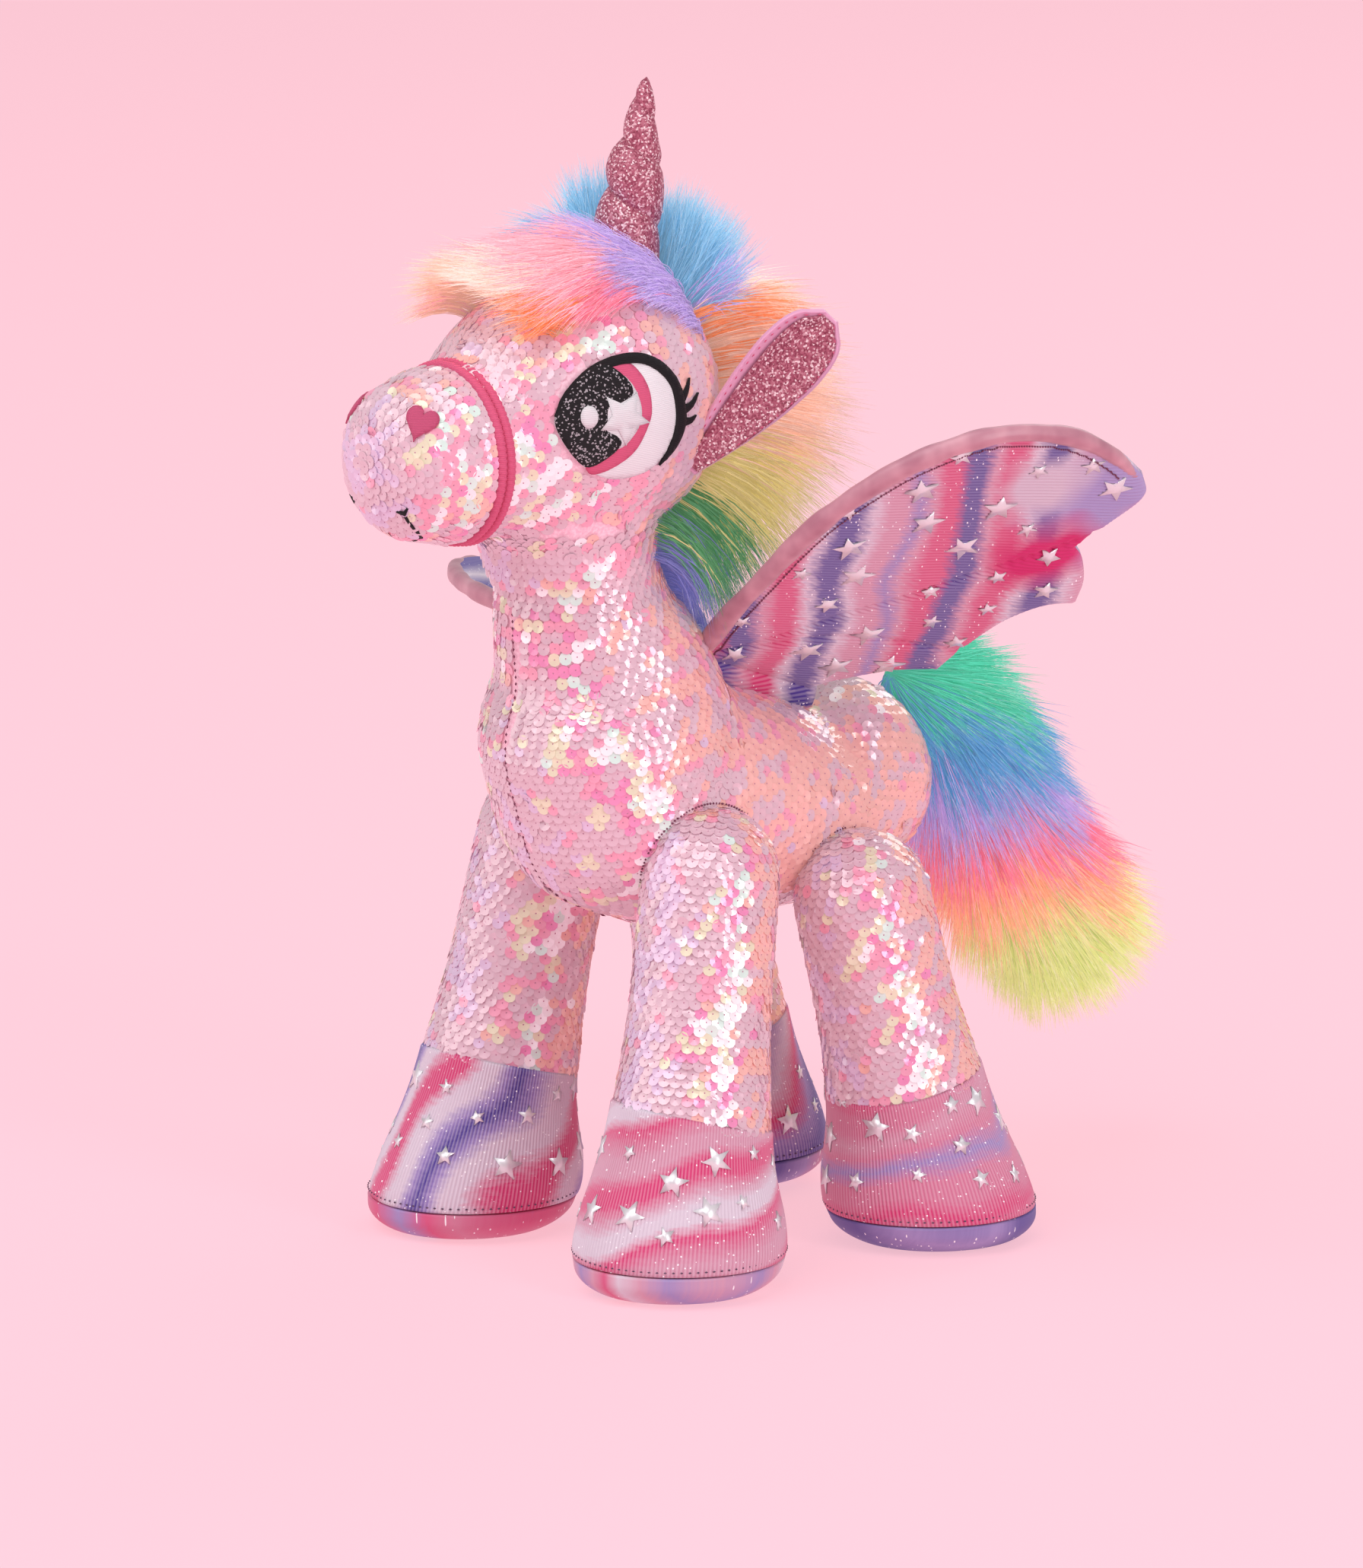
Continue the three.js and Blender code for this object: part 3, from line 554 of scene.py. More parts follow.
def sequins(name, sites, lift=0.55, mood=NO_MOOD, lean=0.0):
    """Cupped 5 mm discs, each tilted like a fish scale over the row below, and the thread dot at each centre."""
    centre, normal, line = sites
    n = len(centre)
    normal = unit(normal)
    down = unit(line - normal * (line * normal).sum(1, keepdims=True))
    side = np.cross(normal, down)
    tilt = np.radians(rng.normal(6, 2.5, n) + np.where(rng.random(n) < 0.04, rng.normal(0, 14, n), 0))
    roll = np.radians(rng.normal(0, 3.5, n))
    up = unit(normal + down * np.tan(tilt)[:, None] + side * np.tan(roll)[:, None])
    a = unit(np.cross(up, side))
    b = np.cross(up, a)
    sides = 10
    th = np.linspace(0, 2 * math.pi, sides, endpoint=False)
    rim = np.stack([np.cos(th), np.sin(th)], 1)
    flat = np.vstack([rim * SEQUIN_RADIUS, [[0, 0]], rim * SEQUIN_RADIUS, [[0, 0]]])
    high = np.concatenate([np.full(sides, 0.16), [-0.12], np.full(sides, 0.0), [-0.26]])
    seat = centre + normal * (lift + rng.random((n, 1)) * 0.15)
    points = (
        seat[:, None]
        + a[:, None] * flat[None, :, :1]
        + b[:, None] * flat[None, :, 1:]
        + up[:, None] * high[None, :, None]
    )
    j = np.arange(sides)
    k = (j + 1) % sides
    top = np.stack([j, k, np.full(sides, sides)], 1)
    low = np.stack([k, j, np.full(sides, 2 * sides + 1)], 1) + np.array([sides + 1, sides + 1, 0])
    wall = np.stack([j, j + sides + 1, k + sides + 1, k], 1)
    base = (np.arange(n) * len(flat))[:, None, None]
    tris = (np.concatenate([top, low])[None] + base).reshape(-1, 3)
    quads = (wall[None] + base).reshape(-1, 4)
    turned = np.cross(a, b)[0] @ up[0] < 0
    if turned:
        tris, quads = tris[:, ::-1], quads[:, ::-1]
    tint = tint_of(centre, normal, mood, lean)
    slots = np.concatenate([np.repeat(tint, 2 * sides), np.repeat(tint, sides)])
    shown = build(name, points.reshape(-1, 3), [tris, quads], SEQUINS, slots, smooth=False)
    spot = seat - up * 0.1
    dot = np.vstack([np.stack([np.cos(th[::2]), np.sin(th[::2])], 1) * 0.34, [[0, 0]]])
    tall = np.concatenate([np.zeros(5), [0.2]])
    dots = (
        spot[:, None]
        + a[:, None] * dot[None, :, :1]
        + b[:, None] * dot[None, :, 1:]
        + up[:, None] * tall[None, :, None]
    )
    j = np.arange(5)
    cone = np.stack([j, (j + 1) % 5, np.full(5, 5)], 1)
    floor = np.array([[4, 3, 2, 1, 0]])
    base = (np.arange(n) * 6)[:, None, None]
    cone, floor = (cone[None] + base).reshape(-1, 3), (floor[None] + base).reshape(-1, 5)
    if turned:
        cone, floor = cone[:, ::-1], floor[:, ::-1]
    threads = build(name + "_threads", dots.reshape(-1, 3), [cone, floor], DOT, smooth=False)
    return shown, threads


# ---------- patches that lie on a skin ----------
def applique(name, outline, frame_, skin, lift, thick, mat, step=2.2, puff=0.25, flat=False):
    """A closed thin patch with a 2-D outline, laid on a skin. frame_ is (origin, across, up, outward)."""
    origin, ex, ey, out = (np.asarray(v, float) for v in frame_)
    outline = np.asarray(outline, float)
    low, high = outline.min(0), outline.max(0)
    inner = []
    if not flat:
        xs, ys = np.meshgrid(np.arange(low[0], high[0], step), np.arange(low[1], high[1], step))
        inner = [Vector(p) for p in np.stack([xs.ravel(), ys.ravel()], 1)]
    edge = [Vector(p) for p in outline]
    loop = [(i, (i + 1) % len(edge)) for i in range(len(edge))]
    verts, _, faces, _, _, _ = delaunay_2d_cdt(edge + inner, loop, [tuple(range(len(edge)))], 1, 1e-4)
    flip = np.cross(ex, ey) @ out < 0
    pairs, rim = {}, set()
    for f in faces:
        for a, b in zip(f, (*f[1:], f[0])):
            pairs[(a, b)] = True
    borders = [(a, b) for a, b in pairs if (b, a) not in pairs]
    for a, b in borders:
        rim |= {a, b}
    top, low_ = [], []
    for i, v in enumerate(verts):
        start = origin + ex * v[0] + ey * v[1] + out * 25
        hit, normal, _, _ = skin.ray_cast(Vector(start), Vector(-out), 60)
        if hit is None:
            hit, normal, _, _ = skin.find_nearest(Vector(start - out * 25))
        hit, normal = np.array(hit), np.array(normal)
        top.append(hit + normal * (lift + thick - (puff if i in rim else 0)))
        low_.append(hit + normal * (lift - 0.6))
    n = len(verts)
    tris = [f for f in faces] + [tuple(n + i for i in reversed(f)) for f in faces]
    walls = [(a, a + n, b + n, b) for a, b in borders]
    if flip:
        tris, walls = [f[::-1] for f in tris], [f[::-1] for f in walls]
    sizes = {}
    for f in tris:
        sizes.setdefault(len(f), []).append(f)
    return build(name, top + low_, [*(np.array(f) for f in sizes.values()), np.array(walls)], mat)


def ellipse(cx, cy, rx, ry, start=0.0, stop=360.0, count=48):
    th = np.radians(np.linspace(start, stop, count, endpoint=stop - start < 360))
    return np.stack([cx + rx * np.cos(th), cy + ry * np.sin(th)], 1)


def ribbon(line, widths):
    """The outline of a stroke with a width at each point of its centre line."""
    line, widths = np.asarray(line, float), np.asarray(widths, float)
    run = unit(np.gradient(line, axis=0))
    across = np.stack([-run[:, 1], run[:, 0]], 1) * widths[:, None] / 2
    return np.vstack([line - across, (line + across)[::-1]])


def star(points, outer, inner, turn=0.0):
    th = np.radians(turn) + np.arange(points * 2) * math.pi / points + math.pi / 2
    r = np.where(np.arange(points * 2) % 2 == 0, outer, inner)
    return np.stack([np.cos(th) * r, np.sin(th) * r], 1)


def stars(name, spots, skin):
    """Silver foil five-pointed stars pressed on cloth. Each spot is (centre, outward, up, radius, turn)."""
    made = []
    for i, (centre, out, up, radius, turn) in enumerate(spots):
        ex = unit(np.cross(up, out))
        ey = np.cross(out, ex)
        made.append(
            applique(f"{name}_{i}", star(5, radius, radius * 0.42, turn), (centre, ex, ey, out), skin, 0.35, 0.3, FOIL,
                     puff=0.0, flat=True)
        )
    return join(made)


# ---------- torso, neck and head ----------
BARREL = Tube(
    [(66, 165), (45, 157), (22, 159), (0, 163), (-25, 167), (-45, 172)],
    [35, 40, 43, 45, 47, 45], [36, 35, 40, 44, 46, 43], (30, 40),
)
NECK = Tube(
    [(-42, 172), (-46, 198), (-50, 220), (-56, 237), (-59, 252), (-60, 268)],
    [46, 46, 39, 33, 30, 28], [44, 47, 40, 33.5, 30, 28], (40, 20),
)
SKULL = Tube(
    [(-48, 319), (-62, 319), (-84, 315), (-104, 309.5), (-122, 307)],
    [46, 47.5, 41.5, 34, 29.8], [50, 51, 43.5, 35, 30.3], (40, 10),
)
THROAT = Tube([(-72, 300), (-65, 280), (-61, 258)], [36, 33, 30.4], [42, 35, 30.8], (20, 5))
MUZZLE = Tube([(-114, 306.5), (-126, 307), (-136.5, 306.5)], [30.8, 31.8, 28.5], [30.8, 31.8, 28.8], (10, 20))

torso = soften(join([BARREL.mesh("torso_skin", BACKING), NECK.mesh("neck_part", BACKING)]), 3.0, 8)
torso = stuff(torso, 3.0, 2.5)
head = soften(join([SKULL.mesh("head_skin", BACKING), THROAT.mesh("throat_part", BACKING)]), 3.0, 8)
head = stuff(head, 3.0, 2.0)
muzzle = soften(MUZZLE.mesh("muzzle_skin_cloth", BACKING), 2.5, 4)
torso_shape, head_shape, muzzle_shape = shape_of(torso), shape_of(head), shape_of(muzzle)


def inside(shape, p, margin=0.0):
    """Whether a point lies under a closed skin by more than a margin."""
    hit, normal, _, _ = shape.find_nearest(Vector(p))
    return (Vector(p) - hit).dot(normal) < -margin


HIPS = {
    "front_left": (1, -62.5, 0.18, 148.0),
    "front_right": (-1, -62.5, 0.18, 148.0),
    "hind_left": (1, 61.5, -0.21, 130.0),
    "hind_right": (-1, 61.5, -0.21, 130.0),
}


def leg_point(corner, z):
    side, foot_y, slope, _ = HIPS[corner]
    return np.array([side * (62 - 0.094 * z), foot_y + slope * z, z])


def leg_tube(corner):
    hip = HIPS[corner][3]
    heights = np.linspace(46, hip, 6)
    return Tube([leg_point(corner, z) for z in heights], [29.5, 28, 26, 25, 24.8, 24.5], [29.5, 28, 26, 25, 24.8, 24.5],
                (3, 24.5))


pieces = {"torso": [torso], "neck_core": [], "head": [head, muzzle]}
leg_shapes = {}
for corner in HIPS:
    skin = soften(leg_tube(corner).mesh("leg_cloth_" + corner, BACKING), 3.0, 3)
    leg_shapes[corner] = shape_of(skin)
    pieces["leg_" + corner] = [skin]


def outside_legs(p):
    return not any(inside(s, p, 1.0) for s in leg_shapes.values())


def on_body(p):
    return p[2] < 262 and outside_legs(p) and not inside(head_shape, p, 0.5)


def shape_of_all(objects):
    """One search tree over several skins."""
    points, faces, base = [], [], 0
    for obj in objects:
        n = len(obj.data.vertices)
        co = np.empty(n * 3, np.float32)
        obj.data.vertices.foreach_get("co", co)
        points.append(co.reshape(-1, 3) * 1000 - SHIFT)
        faces += [tuple(v + base for v in p.vertices) for p in obj.data.polygons]
        base += n
    return BVHTree.FromPolygons([Vector(p) for p in np.concatenate(points)], faces)


def rows_over_crease():
    """Sequin rows that run straight on over the crease between the neck and the throat."""
    both = shape_of_all([torso, head])
    heights = np.arange(245.5, 268.5, ROW)
    angles = np.linspace(0, 2 * math.pi, 73)
    centre = np.stack([0 * heights, np.interp(heights, [240, 252, 258, 280], [-57, -59, -61, -65]), heights], 1)
    out = np.stack([np.cos(angles), np.sin(angles), 0 * angles], 1)
    reach = np.full((len(heights), len(angles)), 31.0)
    for i, c in enumerate(centre):
        for j, d in enumerate(out):
            hit = both.ray_cast(Vector(c + d * 60), Vector(-d), 60)[0]
            if hit is not None:
                reach[i, j] = min(np.linalg.norm(np.array(hit) - c), 38)
    padded = np.pad(reach, ((2, 2), (0, 0)), mode="edge")
    soft = sum(padded[k : k + len(reach)] * w for k, w in enumerate([0.1, 0.2, 0.4, 0.2, 0.1]))
    reach = np.maximum(reach, soft)
    slope = np.gradient(reach, heights, axis=0)
    points, normals = [], []
    for i, c in enumerate(centre):
        count = int(round(2 * math.pi * reach[i].mean() / ALONG))
        at = (np.arange(count) + 0.5 * (i % 2)) * 2 * math.pi / count
        d = np.stack([np.cos(at), np.sin(at), 0 * at], 1)
        points.append(c + d * np.interp(at, angles, reach[i])[:, None])
        normals.append(unit(d - np.array([0, 0, 1]) * np.interp(at, angles, slope[i])[:, None]))
    points, normals = np.concatenate(points), np.concatenate(normals)
    return points, normals, np.tile([0.0, 0, 1], (len(points), 1))


def by_height(sites, low, high):
    keep = (sites[0][:, 2] > low) & (sites[0][:, 2] <= high)
    return tuple(a[keep] for a in sites)


barrel_sites = sequin_sites(BARREL, torso_shape, lambda p: on_body(p) and p[1] - 0.25 * (p[2] - 160) > -28)
neck_sites = sequin_sites(NECK, torso_shape, lambda p: on_body(p) and p[1] - 0.25 * (p[2] - 160) <= -28)
pieces["torso"] += sequins("barrel_sequins", barrel_sites, lean=0.6)
collar_sites = rows_over_crease()
neck_sites = by_height(neck_sites, 0, 244)
collar_low, collar_top = by_height(collar_sites, 244, 257), by_height(collar_sites, 257, 270)
def stitches(name, ends, radius, mat):
    """Short closed lozenges of thread from one end point to the other. ends is (n, 2, 3)."""
    a, b = ends[:, 0], ends[:, 1]
    run = unit(b - a)
    side = unit(np.cross(run, [0.3, 0.2, 0.93]))
    up = np.cross(run, side)
    th = np.linspace(0, 2 * math.pi, 6, endpoint=False)
    ring = side[:, None] * np.cos(th)[None, :, None] + up[:, None] * np.sin(th)[None, :, None]
    mid = (a + b) / 2
    points = np.concatenate([a[:, None], mid[:, None] + ring * radius, b[:, None]], 1)
    j = np.arange(6)
    k = (j + 1) % 6
    one = np.concatenate([np.stack([np.zeros(6), 1 + k, 1 + j], 1), np.stack([np.full(6, 7), 1 + j, 1 + k], 1)])
    faces = (one[None].astype(int) + (np.arange(len(a)) * 8)[:, None, None]).reshape(-1, 3)
    return build(name, points.reshape(-1, 3), faces, mat)


def off_seam(sites):
    """Leaves the seam down the middle of the chest bare."""
    keep = (np.abs(sites[0][:, 0]) > 1.1) | (sites[0][:, 1] > -50) | (sites[0][:, 2] > 246)
    return tuple(a[keep] for a in sites)


SEAM_THREAD = material("seam_thread", (0.20, 0.05, 0.10), 0.7)


def chest_seam():
    """Dark thread stitches showing between the sequins down the middle of the chest."""
    ends = []
    for z in np.arange(126, 244, 2.6):
        hit, normal, _, _ = torso_shape.ray_cast(Vector((0, -200, z)), Vector((0, 1, 0)), 300)
        up_, _, _, _ = torso_shape.ray_cast(Vector((0, -200, z + 1.5)), Vector((0, 1, 0)), 300)
        if hit is not None and up_ is not None:
            ends.append([np.array(hit) + np.array(normal) * 0.9, np.array(up_) + np.array(normal) * 0.9])
    return stitches("neck_seam_thread", np.array(ends), 0.45, SEAM_THREAD)


def leg_seam(corner):
    """The sewn line where a leg meets the body: the points of the leg's round top that lie on the body's skin."""
    hip, r = leg_point(corner, HIPS[corner][3]), 24.8
    side = HIPS[corner][0]
    line = []
    for a in np.radians(np.arange(-20, 201, 3.0)):
        for dx in np.linspace(-22, 22, 60):
            rr = math.sqrt(r * r - dx * dx)
            p = hip + [side * dx, -rr * math.cos(a), rr * math.sin(a)]
            if not inside(torso_shape, p, 0.0):
                line.append(p + unit(p - hip) * 1.3 + [side * 0.8, 0, 0])
                break
    line = np.array(line)
    step = np.linalg.norm(np.diff(line, axis=0), axis=1)
    ends = np.stack([line[:-1], line[:-1] + (line[1:] - line[:-1]) * 0.8], 1)[step < 6]
    return stitches("leg_seam_" + corner, ends, 0.5, SEAM_THREAD)


neck_sites, barrel_sites = off_seam(neck_sites), off_seam(barrel_sites)
neck_pieces = sequins("neck_sequins", tuple(np.concatenate(p) for p in zip(neck_sites, collar_low)), lean=0.6, mood=NECK_MOOD)

EYE_OUT = unit([0.974, -0.194, 0.115])
EYE_BACK = unit(np.cross([0, 0, 1], EYE_OUT))
EYE_UP = np.cross(EYE_OUT, EYE_BACK)
EYE_AT = np.array([43.2, -73.3, 322.6])


def eye_gap(p):
    """Whether a point on the head is clear of both eye patches."""
    q = (np.array([abs(p[0]), p[1], p[2]]) - EYE_AT) * 1.0
    return (((q @ EYE_BACK + 1) / 25.5) ** 2 + ((q @ EYE_UP + 1.5) / 22.5) ** 2) > 1


head_sites = sequin_sites(SKULL, head_shape, lambda p: p[1] > -117 and p[2] > 264 and eye_gap(p))
pieces["head"] += sequins("head_sequins", head_sites, mood=FACE_MOOD)
throat_sites = by_height(sequin_sites(THROAT, head_shape, eye_gap), 268, 275)
throat_sites = tuple(np.concatenate(p) for p in zip(throat_sites, collar_top))
pieces["head"] += sequins("throat_sequins", throat_sites, lift=0.7, mood=FACE_MOOD)
muzzle_sites = sequin_sites(MUZZLE, muzzle_shape, lambda p: p[1] < -120)
pieces["head"] += sequins("muzzle_sequins", muzzle_sites, mood=MUZZLE_MOOD)
neck_pieces = (*neck_pieces, chest_seam())
for corner in HIPS:
    pieces["leg_" + corner].append(leg_seam(corner))
    tilt = 0.25 if "front" in corner else -0.22
    top = HIPS[corner][1] + HIPS[corner][2] * 60
    sites = sequin_sites(leg_tube(corner), leg_shapes[corner],
                         lambda p: p[2] > 61 - tilt * (p[1] - top) and not inside(torso_shape, p, 2.0))
    pieces["leg_" + corner] += sequins("leg_sequins_" + corner, sites)


# ---------- hooves ----------
def turned_profile(rows):
    """A smooth [radius, height] meridian through stations, sampled evenly."""
    rows = np.asarray(rows, float)
    t = np.linspace(0, 1, 400)
    line = fair(rows, t)
    run = np.concatenate([[0], np.cumsum(np.linalg.norm(np.diff(line, axis=0), axis=1))])
    return line, run


def hoof(corner, mat, sole_mat):
    side, foot_y, slope, _ = HIPS[corner]
    tilt = 0.25 if "front" in corner else -0.22
    wall, run = turned_profile([[38.5, 12.75], [38.5, 18], [37.0, 27], [34.0, 38], [31.6, 48], [30.4, 56], [29.9, 61]])
    rows, columns = 46, 640
    s = np.linspace(0, run[-1], rows)
    r, z = np.interp(s, run, wall[:, 0]), np.interp(s, run, wall[:, 1])
    hem = np.array([[29.3, 62.2], [28.2, 61.0], [27.6, 56.0]])
    r, z = np.concatenate([[36.6], r, hem[:, 0]]), np.concatenate([[12.6], z, hem[:, 1]])
    s = np.concatenate([[s[0] - 2], s, s[-1] + np.array([1.5, 3, 8])])
    th = np.linspace(0, 2 * math.pi, columns, endpoint=False)
    ribs = 0.22 * np.cos(th * 160)[None] * ((z > 13.5) & (z < 61.5))[:, None]
    dent = 0.5 * np.sin(th * 3 + side)[None] * np.sin(z / 15)[:, None]
    radius = r[:, None] + ribs + dent
    toe = 1 + 0.05 * np.clip(-np.sin(th), 0, 1)[None] * np.clip(1 - z / 60, 0, 1)[:, None]
    x, y = radius * np.cos(th), radius * np.sin(th) * toe
    slant = np.clip((z - 13) / 48, 0, 1)[:, None] ** 1.5
    height = z[:, None] - tilt * y * slant
    axis = np.stack([side * (62 - 0.094 * height), foot_y + slope * height], -1)
    points = np.stack([axis[..., 0] + x, axis[..., 1] + y, height], -1)
    faces = grid_faces(len(r), columns)
    obj = build(f"hoof_print_{corner}", points.reshape(-1, 3), faces, mat)
    round_ = (th - math.pi / 2) % (2 * math.pi)  # the cuff is sewn shut at the back
    lay = np.stack([np.broadcast_to(round_ * 36, x.shape), np.broadcast_to(s[:, None] + side * 7, x.shape)], -1) / 1000
    set_uv(obj, lay.reshape(-1, 2), 2 * math.pi * 0.036)
    apply(obj, "SOLIDIFY", thickness=0.0012, offset=-1)
    low, run = turned_profile([[0.1, 0.4], [15, 0.4], [27, 0.6], [33, 3.0], [37.0, 7.0], [38.4, 12.1]])
    r, z = low[::12, 0], low[::12, 1]
    r, z = np.append(r, 36.6), np.append(z, 12.45)
    th = np.linspace(0, 2 * math.pi, 160, endpoint=False)
    toe = 1 + 0.05 * np.clip(-np.sin(th), 0, 1)
    x, y = r[:, None] * np.cos(th), r[:, None] * np.sin(th) * toe
    points = np.stack([side * (62 - 0.094 * z[:, None]) + x, foot_y + slope * z[:, None] + y,
                       np.broadcast_to(z[:, None], x.shape)], -1)
    sole = build(f"sole_print_{corner}", points.reshape(-1, 3), grid_faces(len(r), 160)[:, ::-1], sole_mat)
    set_uv(sole, (points.reshape(-1, 3)[:, :2] / 1000), 10)
    apply(sole, "SOLIDIFY", thickness=0.0012, offset=1)
    made = [obj, sole]
    # a dashed seam just above the sole
    dash = []
    for a in np.linspace(0, 2 * math.pi, 84, endpoint=False):
        b = a + 0.034
        for q in (a, b):
            t = 1 + 0.05 * max(-math.sin(q), 0)
            dash.append((side * (62 - 0.094 * 14.5) + 38.75 * math.cos(q), foot_y + slope * 14.5
                         + 38.75 * t * math.sin(q), 14.6))
    made.append(stitches(f"hoof_seam_{corner}", np.array(dash).reshape(-1, 2, 3), 0.36, STITCH))
    skin = shape_of(obj)
    spots = []
    for _ in range(400):
        a, h = rng.uniform(0, 2 * math.pi), rng.uniform(19, 53)
        out = np.array([math.cos(a), math.sin(a), 0.15])
        c = leg_point(corner, h) + out * 34
        if all(np.linalg.norm(c - q[0]) > 14 for q in spots):
            spots.append((c, unit(out), np.array([0, 0, 1.0]), rng.choice([3.0, 3.8, 5.8]), rng.uniform(-25, 25)))
    made.append(stars(f"hoof_stars_{corner}", spots, skin))
    return made


def set_uv(obj, coords, wrap):
    """Writes point coordinates as the UV map 'cloth', closing the seam where they wrap round."""
    mesh = obj.data
    index = np.empty(len(mesh.loops), np.int32)
    mesh.loops.foreach_get("vertex_index", index)
    uv = np.asarray(coords, np.float32)[index]
    starts = np.empty(len(mesh.polygons), np.int32)
    totals = np.empty(len(mesh.polygons), np.int32)
    mesh.polygons.foreach_get("loop_start", starts)
    mesh.polygons.foreach_get("loop_total", totals)
    owner = np.repeat(np.arange(len(starts)), totals)
    first = uv[starts][owner]
    uv[:, 0] += np.where(first[:, 0] - uv[:, 0] > wrap / 2, wrap, 0) - np.where(uv[:, 0] - first[:, 0] > wrap / 2, wrap, 0)
    layer = mesh.uv_layers.new(name="cloth")
    layer.data.foreach_set("uv", uv.ravel())


HOOF_PRINTS = {
    "front_left": print_material("print_hoof_fl", stripes("pale", "pink", "pink", "pale", "white", "white", "pink", "rose", "pale"), 0.036, 76, 0.7, 0.1),
    "front_right": print_material("print_hoof_fr", stripes("white", "white", "lilac", "purple", "lilac", "white", "white", "pink", "pink"), 0.075, 24,
                                  1.1, 0.9),
    "hind_left": print_material("print_hoof_hl", stripes("rose", "rose", "pink", "rose", "rose", "pale", "rose", "lilac"), 0.056, 78, 0.9, 1.7),
    "hind_right": print_material("print_hoof_hr", stripes("purple", "lilac", "white", "pink", "lilac", "purple"), 0.05, 50, 1.0, 2.6),
}
SOLE_PRINTS = {
    "front_left": print_material("print_sole_fl", stripes("pale", "lilac", "pale", "pink", "white"), 0.04, 15, 0.8, 0.4, rib=(0, 0)),
    "front_right": print_material("print_sole_fr", stripes("pink", "rose", "pink", "lilac"), 0.05, 15, 0.8, 0.9, rib=(0, 0)),
    "hind_left": print_material("print_sole_hl", stripes("purple", "purple", "lilac", "purple"), 0.05, 35, 0.8, 1.4, rib=(0, 0)),
    "hind_right": print_material("print_sole_hr", stripes("lilac", "purple", "rose"), 0.05, 75, 0.8, 2.4, rib=(0, 0)),
}
for corner in HIPS:
    pieces["leg_" + corner] += hoof(corner, HOOF_PRINTS[corner], SOLE_PRINTS[corner])


# ---------- face ----------
def bar_ring(name, centre, radius, thickness, mat, twist, offset):
    """A rolled satin cord round the muzzle, with a slight spiral of stitching pinches."""
    sides, count = 14, 420
    a = np.linspace(0, 2 * math.pi, count, endpoint=False)
    b = np.linspace(0, 2 * math.pi, sides, endpoint=False)
    pinch = 1 + 0.07 * np.cos(a[:, None] * twist + b[None])
    r = radius + thickness * pinch * np.cos(b)
    y = centre[1] + offset + thickness * pinch * np.sin(b)
    points = np.stack([centre[0] + r * np.cos(a)[:, None], y, centre[2] + r * np.sin(a)[:, None]], -1)
    faces = grid_faces(count, sides)
    last = np.stack([(count - 1) * sides + np.arange(sides), (count - 1) * sides + (np.arange(sides) + 1) % sides,
                     (np.arange(sides) + 1) % sides, np.arange(sides)], 1)
    return build(name, points.reshape(-1, 3), np.vstack([faces, last])[:, ::-1], mat)


BAND = np.array([0.0, -117.5, 307.2])
pieces["head"] += [
    bar_ring("noseband_front_cord", BAND, 31.9, 2.0, HOT_PINK, 96, -1.7),
    bar_ring("noseband_back_cord", BAND, 32.3, 2.0, HOT_PINK, 96, 1.9),
]


def loop(points, count=64):
    """A smooth closed outline through a few points."""
    p = np.asarray(points, float)
    n = len(p)
    t = 1 + np.linspace(0, n, count, endpoint=False)
    return fair(np.vstack([p[-1:], p, p[:2]]), t / (n + 2))


EYE_WHITE = [(-26, -1.5), (-21.6, -10.5), (-13.4, -18.5), (-2.4, -23.3), (11, -21.3), (19.5, -13), (23, -4), (22, 8),
             (16, 15.5), (8, 19.5), (-3, 19), (-10, 16.5), (-20, 9.5), (-24, 4)]
IRIS = [(-4, 18.5), (4.3, 17.5), (9.5, 10), (10.8, 2), (9.2, -5), (3.5, -14.5), (-7.6, -20.3), (-14, -17.8), (-16, 0)]
IRIS_GAP = [(-4, 15.5), (1.5, 13), (5.2, 7), (6.6, -0.4), (4, -7), (-2.2, -12), (-9, -8), (-10, 6)]
EYE_PUPIL = [(-26, -1), (-22.5, 6), (-16, 13), (-8, 17.8), (-3, 16.8), (2.4, 11.5), (3.4, 7), (-1, 4.4), (-6, 3), (-6.8, -2),
             (-7.2, -5), (-3, -7.4), (-1.4, -10.5), (-6.5, -15), (-14, -17.4), (-21.5, -10.5)]
LID = [(-25.6, 1.0), (-21.6, 7.4), (-15, 13.2), (-8, 17.0), (1, 19.2), (9, 18.8), (16, 15.2), (21.4, 9), (23.6, 1),
       (23.6, -6), (20.6, -13), (15, -19.6)]
LID_WIDTH = [1.0, 2.2, 2.8, 3.2, 3.6, 3.6, 3.8, 4.0, 4.8, 5.0, 3.4, 0.4]
LASHES = [[(24.5, 3), (27.2, 5.6), (29.4, 10)], [(25, -1), (29.5, 0.6), (33, 4.4)], [(25, -5), (29, -5), (31.6, -3.4)]]


